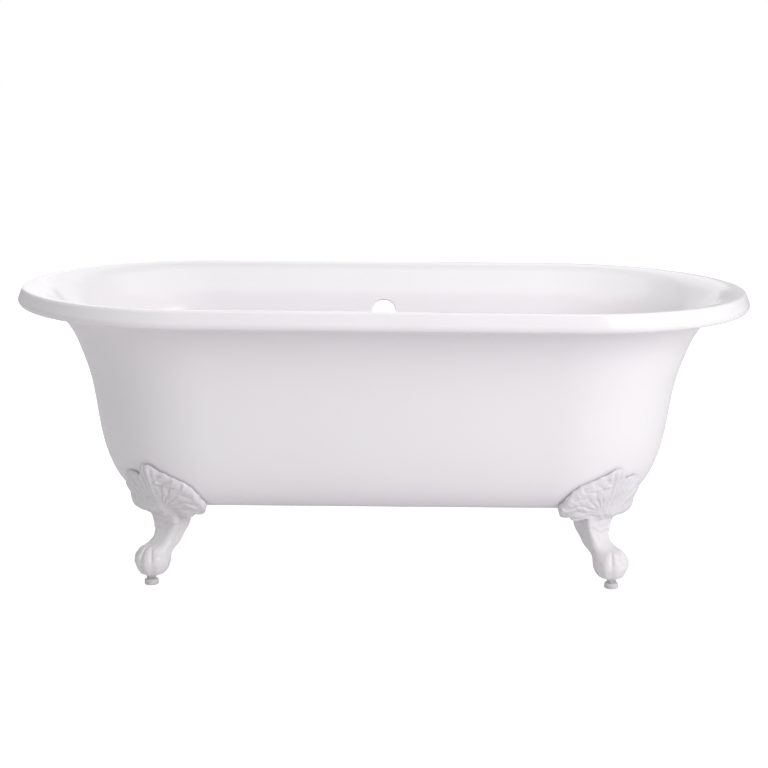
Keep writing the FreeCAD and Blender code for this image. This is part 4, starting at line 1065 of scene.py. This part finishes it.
def spring_washer(r0, r1, z0, z1, n=60):
    """One split turn of flat wire; its ends stand apart at the split."""
    v, f = [], []
    gap = math.radians(9)
    for k in range(n + 1):
        a = gap / 2 + (2 * math.pi - gap) * k / n
        rise = 0.25 * (k / n - 0.5)
        for r, z in ((r0, z0 + 0.25), (r1, z0 + 0.25), (r1, z1 - 0.25), (r0, z1 - 0.25)):
            v.append((r * math.cos(a), r * math.sin(a), z + rise))
    for k in range(n):
        for c in range(4):
            a, b = k * 4 + c, k * 4 + (c + 1) % 4
            f.append([a, b, b + 4, a + 4])
    f.append([0, 1, 2, 3])
    f.append([n * 4 + 3, n * 4 + 2, n * 4 + 1, n * 4])
    return np.array(v, float), f


for corner, (sx, sy) in CORNERS.items():
    q = fq if sx * sy > 0 else fq[:, ::-1]
    o = mesh_object("claw_foot_" + corner, local_to_world(fv, sx, sy), q, paint)
    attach(o, "tub")
    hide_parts("foot_" + corner)
    part("levelling_pad", pad_geo, corner, "pad_" + corner, "leveller_pad_" + corner, nylon)
    part("levelling_stud", stud_geometry(), corner, "stud_" + corner, "leveller_stud_" + corner, steel)
    part("lock_nut", hex_nut(19, 6.1, 16.0, 22.0, 0.3), corner, "tub", "jam_nut_" + corner, steel)
    part("t_bolt", bolt_geometry(), corner, "tub", "foot_bolt_" + corner, steel, reach=110)
    part("plain_washer", washer(5.25, 10, 136.0, 138.0), corner, "tub", "foot_flat_washer_" + corner, steel, reach=110)
    part("split_washer", spring_washer(5.15, 9, 133.5, 136.0), corner, "tub", "foot_spring_washer_" + corner, steel, reach=110)
    part("hex_nut", hex_nut(16, 5.1, 125.5, 133.5, 0.5), corner, "tub", "foot_nut_" + corner, steel, reach=110)

# ------------------------------------------------------------------ the lugs under the tub, cast on for the foot bolts
def lug_geometry(n=14):
    """Block under the bottom with a T slot open at its inner end; x from 85 to 135 along the foot's direction."""
    x0, x1, tip = 85.0, 135.0, 110.0
    outer_path = [(x0, 22.0), (100, 22), (115, 22), (x1 - 5, 22)]
    outer_path += [(x1 - 5 + 5 * math.sin(a), 17 + 5 * math.cos(a)) for a in np.radians([18, 36, 54, 72, 90])]
    outer_path += [(x1, 8), (x1, 0)]
    outer_path += [(x, -y) for x, y in outer_path[-2::-1]]
    m = len(outer_path)

    def inner(half):
        mid = m // 2
        pts = []
        for k in range(m):
            if k <= 3:
                pts.append((x0 + (tip - x0) * k / 3.0, half))
            elif k >= m - 4:
                pts.append((x0 + (tip - x0) * (m - 1 - k) / 3.0, -half))
            else:
                a = math.pi / 2 - math.pi * (k - 3) / (m - 7)
                pts.append((tip + half * math.cos(a), half * math.sin(a)))
        return pts
    v, f = [], []

    def row(pts, z):
        start = len(v)
        v.extend([(x, y, z) for x, y in pts])
        return list(range(start, start + m))

    def shrink(pts, d):
        return [(x0 if abs(x - x0) < 1e-6 else x - d * (x > x1 - 6) * max(0.0, (x - (x1 - 5)) / 5), y - d * (1 if y > 0 else -1) * min(1, abs(y) / 22)) for x, y in pts]
    narrow, wide = inner(5.5), inner(9.5)
    rows = [row(outer_path, 166.0), row(outer_path, 150.0), row(shrink(outer_path, 0.6), 148.6), row(shrink(outer_path, 1.6), 148.0),
            row(narrow, 148.0), row(narrow, 155.5), row(wide, 155.5), row(wide, 166.0)]
    for p, q in zip(rows[:-1], rows[1:]):
        for k in range(m - 1):
            f.append([p[k], p[k + 1], q[k + 1], q[k]])
    for end in (0, m - 1):
        loop = [r[end] for r in rows]
        f.append(loop if end else loop[::-1])
    top = rows[0] + rows[-1][::-1]
    for k in range(m - 1):
        f.append([rows[0][k], rows[0][k + 1], rows[-1][k + 1], rows[-1][k]])
    return np.array(v, float), f


def lug_world(p, sx, sy):
    p = np.asarray(p, float)
    return np.column_stack([sx * (FOOT_X + p[:, 0] * cosf) - sx * p[:, 1] * sinf, sy * p[:, 0] * sinf + sy * p[:, 1] * cosf, p[:, 2]])


bm = bmesh.new()
bm.from_mesh(tub.data)
for sx, sy in CORNERS.values():
    v, f = lug_geometry()
    w = lug_world(v, sx, sy) * MM
    added = [bm.verts.new(tuple(p)) for p in w.tolist()]
    made = []
    for q in f:
        try:
            made.append(bm.faces.new([added[i] for i in q]))
        except ValueError:
            pass
    bmesh.ops.recalc_face_normals(bm, faces=made)
    for e in {e for q in made for e in q.edges}:
        if len(e.link_faces) == 2:
            e.smooth = e.calc_face_angle(0) < math.radians(35)
bm.to_mesh(tub.data)
bm.free()
tub.data.polygons.foreach_set("use_smooth", np.ones(len(tub.data.polygons), bool))

# ------------------------------------------------------------------ floor, light, background
me = bpy.data.meshes.new("floor")
S = 40.0
me.from_pydata([(-S, -S, 0), (S, -S, 0), (S, S, 0), (-S, S, 0)], [], [(0, 1, 2, 3)])
floor = bpy.data.objects.new("floor", me)
bpy.context.scene.collection.objects.link(floor)
fmat, fnt, fb = principled("pale_floor", Roughness=0.9)
fb.inputs["Base Color"].default_value = (0.83, 0.82, 0.83, 1)
fb.inputs["Specular IOR Level"].default_value = 0.0
# the backdrop paper glows a little, so that it stays white and only faint contact shadows show
glow = fnt.nodes.new("ShaderNodeEmission")
glow.inputs["Color"].default_value = (1, 1, 1, 1)
glow.inputs["Strength"].default_value = 0.72
see = fnt.nodes.new("ShaderNodeLightPath")
pick = fnt.nodes.new("ShaderNodeMath")
pick.operation = "MULTIPLY"
pick.inputs[1].default_value = 1.0
fnt.links.new(see.outputs["Is Camera Ray"], pick.inputs[0])
both = fnt.nodes.new("ShaderNodeAddShader")
mixf = fnt.nodes.new("ShaderNodeMixShader")
fout = fnt.nodes["Material Output"]
fnt.links.new(fb.outputs[0], both.inputs[0])
fnt.links.new(glow.outputs[0], both.inputs[1])
fnt.links.new(pick.outputs[0], mixf.inputs[0])
fnt.links.new(fb.outputs[0], mixf.inputs[1])
fnt.links.new(both.outputs[0], mixf.inputs[2])
fnt.links.new(mixf.outputs[0], fout.inputs["Surface"])
me.materials.append(fmat)


def area(name, where, target, size, power, color=(1, 1, 1)):
    l = bpy.data.lights.new(name, "AREA")
    l.shape = "RECTANGLE"
    l.size, l.size_y = size
    l.energy = power
    l.color = color
    o = bpy.data.objects.new(name, l)
    bpy.context.scene.collection.objects.link(o)
    o.location = where
    d = Vector(target) - Vector(where)
    o.rotation_euler = d.to_track_quat("-Z", "Y").to_euler()
    return o


LIGHTS = [
    # name, place, aim, size, power
    ("key", (2.8, -3.0, 2.2), (0.1, 0, 0.35), (2.0, 2.0), 86),
    ("top", (0, -0.3, 3.4), (0, 0, 0.4), (3.6, 2.6), 27),
    ("front", (0, -4.6, 1.6), (0, 0, 0.3), (3.0, 2.0), 5),
    ("right", (3.6, -0.4, 1.6), (0.4, 0, 0.35), (2.0, 2.0), 2),
    ("back", (0, 3.4, 2.6), (0, 0, 0.4), (3.4, 2.0), 17),
    ("behind", (-1.2, 4.4, 1.2), (0, 0, 0.3), (3.0, 1.6), 11),
]
for name, where, aim, size, power in LIGHTS:
    if power > 0:
        area(name, where, aim, size, power)
world = bpy.data.worlds.new("studio")
bpy.context.scene.world = world
world.use_nodes = True
wn = world.node_tree
bg = wn.nodes["Background"]
bg.inputs["Strength"].default_value = 0.47
bg.inputs["Color"].default_value = (1, 1, 1, 1)
lp = wn.nodes.new("ShaderNodeLightPath")
bg2 = wn.nodes.new("ShaderNodeBackground")
bg2.inputs["Strength"].default_value = 1.0
bg2.inputs["Color"].default_value = (1, 1, 1, 1)
mix = wn.nodes.new("ShaderNodeMixShader")
wn.links.new(lp.outputs["Is Camera Ray"], mix.inputs[0])
wn.links.new(bg.outputs[0], mix.inputs[1])
wn.links.new(bg2.outputs[0], mix.inputs[2])
wn.links.new(mix.outputs[0], wn.nodes["World Output"].inputs["Surface"])
bpy.context.scene.view_settings.view_transform = "Standard"
